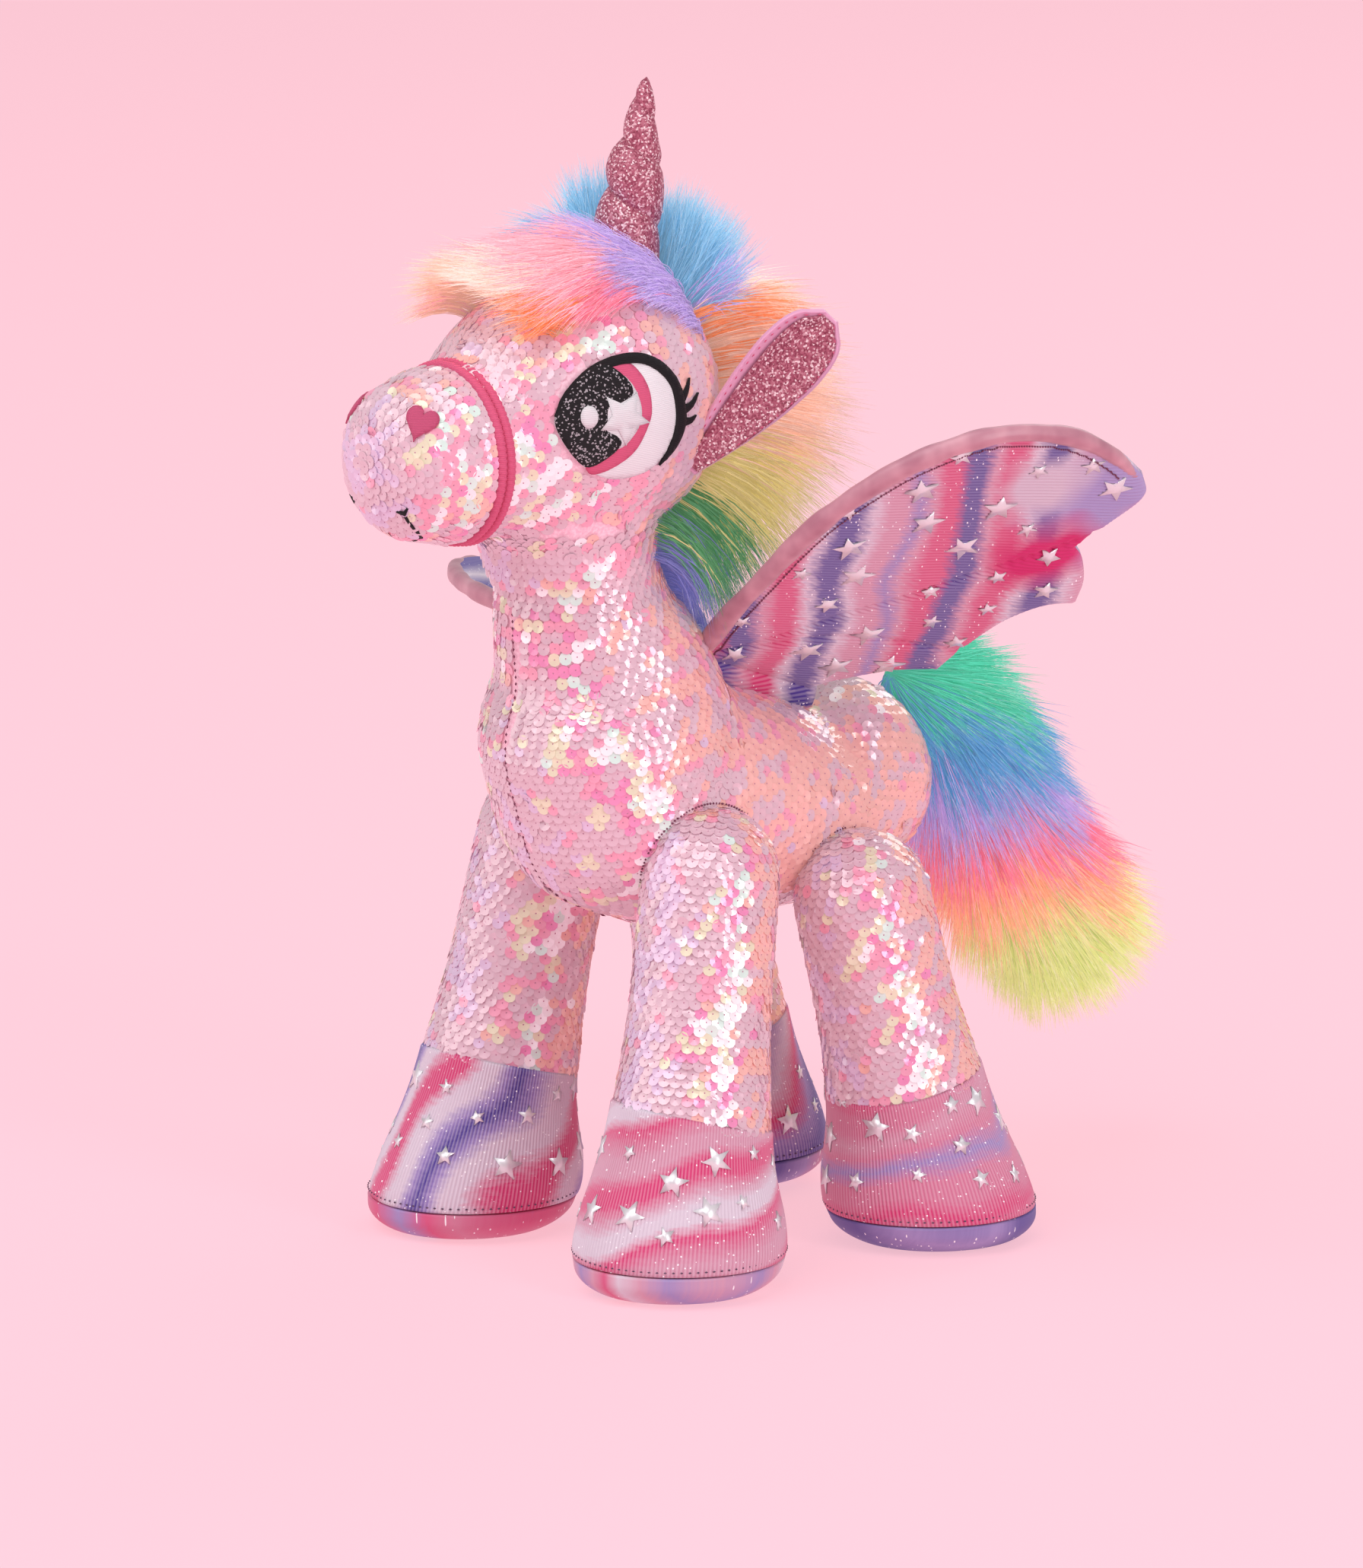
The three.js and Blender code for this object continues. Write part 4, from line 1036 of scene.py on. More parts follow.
def eye(label, side):
    flip = np.array([side, 1, 1])
    at = (EYE_AT * flip, EYE_BACK * flip, EYE_UP * flip, EYE_OUT * flip)

    def patch(part, outline, lift, mat, **kw):
        return applique(f"eye_{part}_{label}", outline, at, head_shape, lift, 0.5, mat, **kw)

    t = np.linspace(0, 1, 70)
    made = [
        patch("white", loop(EYE_WHITE), 0.9, SCLERA),
        patch("iris", loop(IRIS), 1.3, HOT_PINK),
        patch("iris_gap", loop(IRIS_GAP), 1.6, WHITE),
        patch("pupil", loop(EYE_PUPIL, 90), 1.9, PUPIL),
        patch("star", star(5, 10, 4.7, -32) + [-0.3, -1], 2.3, WHITE, step=3),
        patch("highlight", ellipse(-13.6, 0.2, 3.3, 3.9, count=24), 2.4, WHITE, step=2),
        patch("lid", ribbon(fair(LID, t), fair(LID_WIDTH, t)[:, 0]), 1.7, BLACK),
    ]
    for i, line in enumerate(LASHES):
        made.append(patch(f"lash_{i}", ribbon(fair(line, np.linspace(0, 1, 7)), np.linspace(3.6, 0.4, 7)), 1.5, BLACK, flat=True))
    return join(made)


def face_frame(point, centre):
    out = unit(np.array(point, float) - centre)
    ex = unit(np.cross([0, 0, 1], out))
    return np.array(point, float), ex, np.cross(out, ex), out


def heart(size):
    t = np.linspace(0, 2 * math.pi, 40, endpoint=False)
    x = 16 * np.sin(t) ** 3
    y = 13 * np.cos(t) - 5 * np.cos(2 * t) - 2 * np.cos(3 * t) - np.cos(4 * t)
    return np.stack([x, y], 1) * size / 16


MUZZLE_MID = np.array([0.0, -122.0, 308.0])
for label, side in (("left", 1), ("right", -1)):
    pieces["head"].append(eye(label, side))
    at = face_frame((side * 17.6, -144.5, 326.0), MUZZLE_MID)
    pieces["head"].append(
        applique("nostril_stitch_" + label, heart(6.4) @ [[0.86, -0.24], [0.25, 1.08]] + [0, -2.0], at,
                 muzzle_shape, 1.3, 0.7, NOSTRIL_ROSE, step=1.6)
    )
t = np.linspace(-1, 1, 40)
smile = np.stack([14 * (1 - (1 - np.abs(t)) ** 3) * np.sign(t), 17 * t**2 - 10.5], 1)
mouth_at = face_frame((0, -147, 285), MUZZLE_MID)
mouth = [applique("mouth_line", ribbon(smile, np.full(40, 1.1)), mouth_at, muzzle_shape, 0.5, 0.6, BLACK, flat=True)]
for side in (1, -1):
    tick = np.array([[side * 12, 8.0], [side * 14.4, 6.6], [side * 16.4, 8.4]])
    mouth.append(applique("mouth_tick", ribbon(tick, [0.6, 1.8, 0.8]), mouth_at, muzzle_shape, 1.0, 0.6, BLACK, flat=True))
pieces["head"].append(join(mouth))


# ---------- ears ----------
def ear(label, side):
    """A cupped leaf: glitter lining in front, sequin-pink cloth behind and round the rim."""
    flip = np.array([side, 1.0, 1.0])
    base, tip = np.array([39.0, -40, 297]) * flip, np.array([66.0, 3, 350.5]) * flip
    facing = unit(np.array([0.82, -0.565, 0.088]) * flip)
    along = unit(tip - base)
    across = np.cross(along, facing) * side
    length = np.linalg.norm(tip - base) + 2
    t = np.linspace(0.0, 1, 44)
    half = np.interp(t, [0, 0.1, 0.3, 0.5, 0.7, 0.85, 0.94, 0.985, 1],
                     [3.0, 5.4, 9.2, 12.0, 13.4, 12.4, 9.4, 5.2, 0.4])
    half = np.convolve(np.pad(half, 2, mode="edge"), np.ones(5) / 5, "valid")
    u = np.linspace(-1, 1, 25)
    cup = 3.4 * (u[None] ** 2) * (half[:, None] / 12) + 5 * (t[:, None] - 0.5) ** 2
    made = []
    for part, mat, shrink, thick, lift in (("cloth", EAR_CLOTH, 1.0, 2.0, -1.4), ("lining_glitter", GLITTER, 0.80, 1.0, 0.3)):
        s = length * (0.5 + (t - 0.5) * (1 if shrink == 1 else 0.96))
        points = (
            base
            + along * (s + 1)[:, None, None]
            + across * (half[:, None] * (u * shrink + (0 if shrink == 1 else 0.2 - 0.13 * t[:, None])))[..., None]
            + facing * (cup * shrink + lift)[..., None]
        )
        obj = build(f"ear_{part}_{label}", points.reshape(-1, 3), grid_faces(44, 25, closed=False), mat)
        apply(obj, "SOLIDIFY", thickness=thick / 1000, offset=0)
        apply(obj, "BEVEL", width=0.0004, segments=2) if part == "cloth" else None
        made.append(obj)
    rim = np.concatenate([np.stack([half * 0.88, t * length * 0.965 + 2.2], 1),
                          np.stack([-half * 0.88, t * length * 0.965 + 2.2], 1)[::-1]])
    edge = base + along * rim[:, 1:] + across * rim[:, :1] + facing * (3.4 * 0.8 * np.abs(rim[:, :1]) / 12 + 1.4)
    made.append(stitches("ear_stitches_" + label, np.stack([edge[:-1:2], edge[1::2]], 1), 0.3, HOT_PINK))
    return made


EAR_CLOTH = material("ear_pink_cloth", (0.78, 0.38, 0.56), 0.35, Sheen_Weight=0.2, Metallic=0.1)
for label, side in (("left", 1), ("right", -1)):
    pieces["ear_" + label] = ear(label, side)


# ---------- horn ----------
def horn():
    """Glitter cloth over stuffing, pinched into stacked bulges by a thread wound up it."""
    base, tip = np.array([0.0, -38, 364]), np.array([0.0, -27, 434.5])
    axis = unit(tip - base)
    side, up = np.array([1.0, 0, 0]), np.cross(axis, [1.0, 0, 0])
    length = np.linalg.norm(tip - base)
    t, th = np.linspace(0, 1, 150), np.linspace(0, 2 * math.pi, 72, endpoint=False)
    turns, rush, start = 3.4, 1.6, 0.484  # the wraps crowd together towards the tip
    phase = (turns * t[:, None] ** rush + th[None] / (2 * math.pi) + start) % 1
    radius = np.interp(t, [0, 0.29, 0.53, 0.62, 0.68, 0.74, 0.85, 0.94, 0.98, 1],
                       [12.6, 12.0, 10.4, 9.0, 7.2, 6.2, 4.7, 2.9, 1.6, 0.2])[:, None]
    pinch = 0.29 + 0.08 * np.cos(th - math.radians(231))[None]
    r = radius * (1.04 - pinch * (1 - np.sqrt(np.clip(np.sin(math.pi * phase), 0, 1))))
    points = (
        base
        + axis * (t * length)[:, None, None]
        + side * (r * np.cos(th))[..., None]
        + up * (r * np.sin(th))[..., None]
    )
    cap = [(base - axis * 3), (tip + axis * 0.2)]
    rows = points.reshape(-1, 3)
    n = len(rows)
    j = np.arange(72)
    fans = np.concatenate([
        np.stack([np.full(72, n), (j + 1) % 72, j], 1),
        np.stack([np.full(72, n + 1), n - 72 + j, n - 72 + (j + 1) % 72], 1),
    ])
    skin = build("horn_glitter", np.vstack([rows, cap]), [grid_faces(150, 72), fans], GLITTER)
    angle = np.linspace(0, -2 * math.pi * (turns - 0.5), 420)
    a = np.clip((1 - start - angle / (2 * math.pi)) / turns, 0, 1) ** (1 / rush)
    rr = np.interp(a, t, radius[:, 0]) * (1.04 - 0.29 - 0.08 * np.cos(angle - math.radians(231)))
    centre = base + axis * (a * length)[:, None] + side * (rr * np.cos(angle))[:, None] + up * (rr * np.sin(angle))[:, None]
    thread = stitches("horn_wound_thread", np.stack([centre[:-1], centre[1:]], 1), 0.34, ROSE_THREAD)
    return [skin, thread]


pieces["horn"] = horn()


# ---------- wings ----------
STAR_LEAN = np.array([0.76, -0.61, 0.21])  # the foil stars are stretched a little along the ribs


def outline_of_wing():
    """The wing's edge in its own plane: back along the seam, then out from it."""
    lead = fair([[0, 2], [-8, 22], [-15, 46], [-24, 95], [-20, 130], [-8, 155], [12, 173], [40, 180], [66, 176], [86, 168]],
                np.linspace(0, 1, 90))
    tip = fair([[86, 168], [95, 158], [93, 140], [90, 122]], np.linspace(0, 1, 24))
    hook = fair([[90, 122], [98, 117], [109, 105], [116, 92]], np.linspace(0, 1, 16))
    scallop = fair([[116, 92], [105, 85], [98, 70], [97, 48], [99, 30]], np.linspace(0, 1, 24))
    tail = fair([[99, 30], [90, 28], [78, 18], [66, 5], [62, -3]], np.linspace(0, 1, 20))
    return np.vstack([lead, tip[1:], hook[1:], scallop[1:], tail[1:]]) * 0.965, lead * 0.965


def wing_frame(side, rest, sweep):
    root = np.array([side * 12.0, -16, 221])
    seam = unit([0, 0.958, -0.284])
    upright = np.cross([1.0, 0, 0], seam)
    out = np.array([side, 0, 0]) * math.sin(math.radians(rest)) + upright * math.cos(math.radians(rest))
    a = math.radians(-sweep)
    ex, ey = seam * math.cos(a) + out * math.sin(a), out * math.cos(a) - seam * math.sin(a)
    face = np.cross(ex, ey) * side  # towards the printed side, which looks down and out
    return root, ex, ey, unit(face)


def wing(label, side, rest, sweep):
    root, ex, ey, face = wing_frame(side, rest, sweep)
    edge, lead = outline_of_wing()
    rib = unit([1.0, 0.3])
    rise = np.array([-rib[1], rib[0]])
    q = edge @ rise
    levels = np.arange(q.min() + 0.3, q.max() - 0.3, 0.42)
    columns = 110
    lattice = []
    closed = np.vstack([edge, edge[:1]])
    for level in levels:
        d = closed @ rise - level
        k = np.nonzero(d[:-1] * d[1:] <= 0)[0]
        f = (d[k] / (d[k] - d[k + 1]))[:, None]
        run = (closed[k] * (1 - f) + closed[k + 1] * f) @ rib
        lattice.append(np.linspace(run.min(), run.max(), columns)[:, None] * rib + level * rise)
    lattice = np.array(lattice)
    flat = lattice.reshape(-1, 2)
    gap = np.full(len(flat), 1e9)
    for a, b in zip(closed[:-1], closed[1:]):
        run = b - a
        t = np.clip(((flat - a) @ run) / max(run @ run, 1e-9), 0, 1)[:, None]
        gap = np.minimum(gap, np.linalg.norm(flat - a - run * t, axis=1))
    gap = gap.reshape(len(levels), columns)
    swell = np.sqrt(np.clip(1 - (1 - np.clip(gap / 11, 0, 1)) ** 2, 0, 1))
    body = 1.0 + 2.3 * swell
    ribs = 0.34 * np.cos(levels * 2 * math.pi / 1.75)[:, None] * np.clip(gap / 2, 0, 1)
    p3 = np.concatenate([flat, np.zeros((len(flat), 1))], 1)
    folds = 1.1 * (ripple(p3 * [1, 1, 0], 62, 21) - 0.5).reshape(gap.shape) * np.clip(gap / 10, 0, 1)
    s, h = lattice[..., 0], lattice[..., 1]
    sag = 5.0 * np.sin(np.clip(h / 180, 0, 1) * math.pi) + 4.0 * (np.clip(s, 0, 120) / 120) ** 2
    quilt = np.zeros(gap.shape)
    for target in ((98.0, 46.0), (88.0, 128.0)):
        line = fair([[6, 10], [40, 20 + target[1] * 0.35], target], np.linspace(0, 1, 40))
        near = np.min(np.linalg.norm(lattice[:, :, None] - line[None, None], axis=3), axis=2)
        quilt += 1.5 * np.exp(-((near / 2.2) ** 2))
    front = sag + body + ribs + folds - quilt
    back = sag - body + folds * 0.6 + 0.7 * quilt

    def to_space(offset):
        return root + ex * s[..., None] + ey * h[..., None] + face * offset[..., None]

    n = front.size
    grid = grid_faces(len(levels), columns, closed=False)
    ring = np.concatenate([
        np.arange(columns - 1), np.arange(columns - 1, n - columns, columns),
        np.arange(n - 1, n - columns, -1), np.arange(n - columns, 0, -columns),
    ])
    after = np.roll(ring, -1)
    wall = np.stack([ring, ring + n, after + n, after], 1)
    slots = np.concatenate([np.zeros(len(grid)), np.ones(len(grid)), np.ones(len(wall))])
    faces = np.vstack([grid, grid[:, ::-1] + n, wall])
    if np.cross(ex + rib[0] * 0, ey) @ face * 1.0 < 0:
        faces = faces[:, ::-1]
    obj = build(f"wing_cloth_{label}", np.vstack([to_space(front).reshape(-1, 3), to_space(back).reshape(-1, 3)]),
                faces, [WING_PRINT, WING_BACK], slots)
    set_uv(obj, np.vstack([flat, flat]) / 1000, 10)
    made = [obj]
    # the satin back is rolled over the leading edge
    run = fair(lead, np.linspace(0, 1, 220))
    tangent = unit(np.gradient(run, axis=0))
    inward = np.stack([tangent[:, 1], -tangent[:, 0]], 1)
    inward *= np.sign(((np.array([40, 90]) - run) * inward).sum(1))[:, None]
    th = np.linspace(0, 2 * math.pi, 28, endpoint=False)
    taper = np.interp(np.linspace(0, 1, 220), [0, 0.04, 0.5, 0.9, 1], [2.2, 4.0, 4.3, 3.6, 1.2])
    crease = 1 + 0.10 * (ripple(np.concatenate([run, np.zeros((220, 1))], 1), 26, 31)[:, None] - 0.5) * 2 \
        + 0.07 * np.cos(th * 3 + 0.6)[None]
    wide, tall = taper[:, None] * crease * np.cos(th), 0.8 * taper[:, None] * crease * np.sin(th)
    lean = sag_along(run)
    centre2 = run + inward * 2.4
    points = (
        root
        + ex * (centre2[:, :1] + inward[:, :1] * wide)[..., None]
        + ey * (centre2[:, 1:] + inward[:, 1:] * wide)[..., None]
        + face * (lean[:, None] + 1.0 + tall)[..., None]
    )
    ends = np.stack([points[0].mean(0), points[-1].mean(0)])
    rows = points.reshape(-1, 3)
    j = np.arange(28)
    m = len(rows)
    fans = np.concatenate([
        np.stack([np.full(28, m), (j + 1) % 28, j], 1),
        np.stack([np.full(28, m + 1), m - 28 + j, m - 28 + (j + 1) % 28], 1),
    ])
    made.append(build(f"wing_roll_{label}", np.vstack([rows, ends]), [grid_faces(220, 28), fans], SATIN))
    skin = shape_of(obj)
    # a dark stitched line just inside the satin roll: a painted shadow of the roll on the print
    hem = run + inward * 6.6
    spot = root + ex * hem[:, :1] + ey * hem[:, 1:] + face * (lean[:, None] + 4)
    spot = np.array([skin.find_nearest(Vector(p))[0] for p in spot]) + face * 0.15
    made.append(stitches(f"wing_roll_shadow_line_{label}", np.stack([spot[:-1], spot[1:]], 1)[4:-10], 0.42, SEAM_THREAD))
    spots = []
    for _ in range(900):
        c2 = np.array([rng.uniform(-20, 115), rng.uniform(8, 176)])
        if not in_outline(c2, closed, 5.5):
            continue
        c = root + ex * c2[0] + ey * c2[1] + face * 4
        if all(np.linalg.norm(c - p[0]) > 20 for p in spots):
            spots.append((c, unit(face + STAR_LEAN * [side, 1, 1]), ey, rng.choice([3.8, 4.8, 6.8]), rng.uniform(-30, 30)))
    made.append(stars(f"wing_stars_{label}", spots, skin))
    for o in made:
        normals_out(o)
    return made


def wing_root(label, side, rest, sweep):
    """The printed cloth between a wing and the seam along the back."""
    root, ex, ey, face = wing_frame(side, rest, sweep)
    s = np.linspace(2, 62, 40)
    flat = np.stack([s, 4.0 - 5 * s / 62], 1)
    top = root + ex * flat[:, :1] + ey * flat[:, 1:] + face * sag_along(flat)[:, None]
    foot = []
    for p in top:
        hit, normal, _, _ = torso_shape.find_nearest(Vector(p - ey * 6))
        foot.append(np.array(hit) - np.array(normal) * 1.5)
    t = np.linspace(0, 1, 9)[None, :, None]
    puff = face * (1.6 * np.sin(math.pi * t))
    points = top[:, None] * (1 - t) + np.array(foot)[:, None] * t + puff
    fall = np.linalg.norm(top - foot, axis=1)
    uv = np.stack([np.broadcast_to(s[:, None], (40, 9)), flat[:, 1:] - fall[:, None] * t[0, :, 0]], -1)
    obj = build(f"wing_root_{label}", points.reshape(-1, 3), grid_faces(40, 9, closed=False), WING_PRINT)
    set_uv(obj, uv.reshape(-1, 2) / 1000, 10)
    apply(obj, "SOLIDIFY", thickness=0.0026, offset=0)
    normals_out(obj)
    return obj, top.mean(0), np.mean(foot, axis=0)


def sag_along(points):
    s, h = points[:, 0], points[:, 1]
    return 5.0 * np.sin(np.clip(h / 180, 0, 1) * math.pi) + 4.0 * (np.clip(s, 0, 120) / 120) ** 2


def in_outline(p, closed, margin):
    d = closed[1:] - closed[:-1]
    w = p - closed[:-1]
    t = np.clip((w * d).sum(1) / np.maximum((d * d).sum(1), 1e-9), 0, 1)[:, None]
    if np.linalg.norm(w - d * t, axis=1).min() < margin:
        return False
    y0, y1 = closed[:-1, 1], closed[1:, 1]
    cross = (y0 > p[1]) != (y1 > p[1])
    x = closed[:-1, 0] + (p[1] - y0) * d[:, 0] / np.where(d[:, 1] == 0, 1e-9, d[:, 1])
    return bool((cross & (p[0] < x)).sum() % 2)


def normals_out(obj):
    bpy.ops.object.select_all(action="DESELECT")
    obj.select_set(True)
    bpy.context.view_layer.objects.active = obj
    bpy.ops.object.mode_set(mode="EDIT")
    bpy.ops.mesh.select_all(action="SELECT")
    bpy.ops.mesh.normals_make_consistent(inside=False)
    bpy.ops.object.mode_set(mode="OBJECT")


WING_STRIPES = stripes("pale", "lilac", "pale", "pink", "pink", "purple", "purple", "pale", "pink", "pink", "white", "purple",
                       "purple", "white", "pale")
WING_PRINT = print_material("print_wing", rib=(-0.287, 0.958), pitch=0.00175, order=WING_STRIPES,
                            width=0.080, turn=-34, wander=0.30)
WING_BACK = print_material("print_wing_back", rib=(-0.287, 0.958), pitch=0.00175, width=0.060, turn=60, wander=0.5,
                           order=stripes("purple", "purple", "white", "purple"))
patch_on(WING_PRINT, (0.078, 0.152), 0.024, (0.40, 0.34, 0.60))
patch_on(WING_PRINT, (0.045, 0.146), 0.015, PRINT["white"])
patch_on(WING_PRINT, (0.093, 0.124), 0.012, (0.40, 0.34, 0.60))
patch_on(WING_PRINT, (0.077, 0.113), 0.016, PRINT["pink"])
pieces["wing_left"] = wing("left", 1, 50, 0)
pieces["wing_right"] = wing("right", -1, 85, 12)
wing_roots = {"wing_left": wing_root("left", 1, 50, 0), "wing_right": wing_root("right", -1, 85, 12)}


# ---------- fur ----------
def fur_tones(name, color):
    """Root, middle and tip tones of one dye colour: the darker root tone is painted shade deep in the pile, the lighter
    tip tone painted light on the hair ends. A little glow stands in for light scattered inside the pile.
    """
    root = tuple(c * 0.80 for c in color)
    light = tuple(min(1.0, c + (1 - c) * 0.26) for c in color)
    tones = []
    for tone, c in (("root", root), ("mid", color), ("tip", light)):
        tones.append(material(f"fur_{name}_{tone}", c, 0.7, Sheen_Weight=0.2, Specular_IOR_Level=0.15,
                              Emission_Color=(*c, 1), Emission_Strength=0.34))
    return tones


FUR = {
    name: fur_tones(name, color)
    for name, color in {
        "peach": (0.92, 0.60, 0.47), "pink": (0.92, 0.48, 0.55), "orange": (0.95, 0.30, 0.12), "cream": (0.94, 0.74, 0.66),
        "lilac": (0.54, 0.40, 0.74), "sky": (0.27, 0.54, 0.74), "yellow": (0.80, 0.68, 0.30), "green": (0.12, 0.36, 0.16),
        "violet": (0.22, 0.22, 0.56), "mint": (0.10, 0.62, 0.43), "blue": (0.14, 0.40, 0.67), "rose": (0.90, 0.25, 0.36),
        "tangerine": (0.95, 0.50, 0.32), "lime": (0.74, 0.78, 0.34), "haze": (0.60, 0.62, 0.80),
    }.items()
}
SEGMENTS = 5


def strands(name, tones, roots, first, last, length, width=0.5, clump=0.45, wild=0.10):
    """Closed three-sided hairs. Each leaves its root along first, bends to last, and leans to its clump's tip."""
    n = len(roots)
    first, last = unit(first + rng.normal(0, wild, (n, 3))), unit(last + rng.normal(0, wild, (n, 3)))
    length = (np.broadcast_to(length, n) * rng.uniform(0.72, 1.08, n))[:, None]
    knee = roots + first * length * 0.42
    tip = knee + last * length * 0.6
    leaders = rng.choice(n, max(n // 14, 1), replace=False)
    for start in range(0, n, 4000):
        block = slice(start, start + 4000)
        near = np.argmin(((roots[block][:, None] - roots[leaders][None]) ** 2).sum(2), 1)
        pull = clump * rng.uniform(0.3, 1.0, (len(near), 1))
        knee[block] += (knee[leaders][near] - knee[block]) * pull * 0.4
        tip[block] += (tip[leaders][near] - tip[block]) * pull
    t = np.linspace(0, 1, SEGMENTS + 1)[None, :, None]
    line = roots[:, None] * (1 - t) ** 2 + 2 * knee[:, None] * t * (1 - t) + tip[:, None] * t**2
    tangent = unit(np.gradient(line, axis=1))
    side = unit(np.cross(tangent, unit(rng.normal(size=(n, 1, 3)))))
    up = np.cross(tangent, side)
    thick = width * rng.uniform(0.7, 1.25, (n, 1)) * np.interp(t[0, :, 0], [0, 0.15, 0.6, 1], [0.7, 1.0, 0.7, 0.08])[None]
    th = np.arange(3) * 2 * math.pi / 3
    ring = side[:, :, None] * np.cos(th)[None, None, :, None] + up[:, :, None] * np.sin(th)[None, None, :, None]
    points = line[:, :, None] + ring * (thick / 2)[..., None, None]
    rows, k = SEGMENTS + 1, np.arange(3)
    quads = np.concatenate([
        np.stack([r * 3 + k, r * 3 + (k + 1) % 3, (r + 1) * 3 + (k + 1) % 3, (r + 1) * 3 + k], 1) for r in range(SEGMENTS)
    ])
    ends = np.array([[2, 1, 0], [rows * 3 - 3, rows * 3 - 2, rows * 3 - 1]])
    base = (np.arange(n) * rows * 3)[:, None, None]
    # along each hair the tone runs from the root tone (painted shade deep in the pile) to the tip tone (painted light
    # on the ends), shifted at random per hair; the end caps take the root and tip tones
    shade = rng.random(n)
    tone = np.clip(np.repeat(np.arange(SEGMENTS), 3)[None] / SEGMENTS * 1.9 + (shade[:, None] - 0.35) * 1.3, 0, 2).astype(int)
    slots = np.concatenate([tone.ravel(), np.tile([0, 2], n)])
    return build(name, points.reshape(-1, 3), [(quads[None] + base).reshape(-1, 4), (ends[None] + base).reshape(-1, 3)],
                 tones, slots, smooth=True)


def scatter(skin, corner_low, corner_high, count, keep, direction):
    """Random root points on a skin, found by casting rays along direction from a box."""
    low, high = np.array(corner_low, float), np.array(corner_high, float)
    direction = unit(direction)
    found, normals = [], []
    tries = 0
    while len(found) < count and tries < count * 12:
        tries += 1
        start = low + rng.random(3) * (high - low)
        hit, normal, _, _ = skin.ray_cast(Vector(start - direction * 60), Vector(direction), 160)
        if hit is not None and keep(np.array(hit)):
            found.append(hit), normals.append(normal)
    return np.array(found), np.array(normals)


def grow(name, roots, first, last, length, colours, fuzz=5.0, **kw):
    """Grows pile from the roots. Each hair takes the colour of the landmark nearest to its middle."""
    length = np.broadcast_to(length, len(roots))
    middle = roots + unit(first) * length[:, None] * 0.42 + rng.normal(0, fuzz, (len(roots), 3)) * [0.4, 1, 1]
    middle = middle + (ripple(roots, 9, 77)[:, None] - 0.5) * fuzz
    at = np.array([p for _, p in colours], float)
    near = np.argmin(((middle[:, None] - at[None]) ** 2).sum(2), 1)
    tone = np.array([sorted({c for c, _ in colours}).index(c) for c, _ in colours])[near]
    made = []
    for i, colour in enumerate(sorted({c for c, _ in colours})):
        mask = tone == i
        if mask.sum() > 2:
            made.append(strands(f"{name}_{colour}", FUR[colour], roots[mask], first[mask], last[mask], length[mask], **kw))
    return made


FORELOCK = [
    ("cream", (0, -118, 372)), ("peach", (-8, -108, 380)), ("cream", (10, -100, 372)), ("peach", (20, -112, 362)),
    ("orange", (28, -92, 362)), ("pink", (8, -80, 382)), ("pink", (-12, -80, 382)), ("pink", (24, -82, 369)), ("rose", (31, -70, 364)),
    ("pink", (14, -62, 380)), ("lilac", (12, -46, 384)), ("lilac", (28, -46, 370)), ("lilac", (28, -32, 362)),
    ("sky", (-20, -50, 386)),
]
CROWN = [
    ("sky", (0, -14, 385)), ("sky", (12, -2, 376)), ("sky", (-20, -30, 386)), ("sky", (26, -14, 370)), ("sky", (-10, 4, 374)),
    ("sky", (22, 2, 362)), ("lilac", (32, -24, 358)), ("cream", (-6, 26, 362)), ("cream", (8, 28, 348)),
]
MANE = [
    ("cream", (-4, 28, 346)), ("cream", (18, 20, 340)), ("peach", (0, 34, 326)), ("orange", (28, -8, 340)),
    ("peach", (26, 8, 346)), ("cream", (10, 14, 354)), ("peach", (28, 6, 330)), ("peach", (28, -20, 326)),
    ("peach", (20, 24, 320)), ("peach", (8, 32, 308)), ("yellow", (0, 22, 292)), ("yellow", (10, 2, 290)),
    ("green", (0, 4, 276)), ("green", (4, -12, 270)), ("green", (0, 0, 264)), ("blue", (0, -8, 254)), ("violet", (4, -22, 252)),
]
NECK_MANE = [("blue", (0, -8, 262)), ("violet", (10, -12, 252)), ("violet", (0, -8, 246)), ("haze", (0, -6, 238)),
             ("violet", (0, -18, 232))]
TAIL_COLOURS = [
    ("mint", (0, 112, 206)), ("mint", (0, 126, 193)), ("blue", (0, 116, 168)), ("blue", (0, 146, 172)), ("blue", (0, 160, 158)),
    ("lilac", (0, 116, 151)), ("lilac", (0, 156, 149)), ("rose", (0, 124, 131)), ("rose", (0, 166, 132)),
    ("tangerine", (0, 130, 115)), ("tangerine", (0, 168, 117)), ("lime", (0, 146, 97)), ("lime", (0, 188, 103)),
    ("lime", (0, 170, 70)),
]


def forelock():
    """Long pile on the forehead, combed forward over the brow and hanging a little at the sides."""
    roots, normals = scatter(head_shape, (-31, -90, 400), (33, -26, 400), 7200,
                             lambda p: abs(p[0]) < 33 - 0.12 * (-34 - p[1]) and (p[1] < -36 or p[0] > 8), (0, 0, -1))
    x, y = roots[:, 0], roots[:, 1]
    side = smoothstep(8, 30, np.abs(x)) * np.sign(x)
    zero = np.zeros(len(x))
    near, brow = smoothstep(-60, -44, y), smoothstep(-64, -84, y)  # close to the horn, close to the brow
    first = normals * 0.5 + np.stack([zero, 0.4 * near - 0.8, 0.25 + 0.5 * near + 0.25 * brow - 0.2 * np.abs(side)], 1)
    last = np.stack([side * 0.22, zero - 1.0, 0.32 * near + 0.16 * brow - 0.05 - 0.55 * np.abs(side)], 1)
    length = np.interp(y, [-90, -62, -34], [46, 46, 32]) * (1 - 0.3 * np.abs(side))
    return grow("forelock", roots, first, last, length, FORELOCK, clump=0.4)


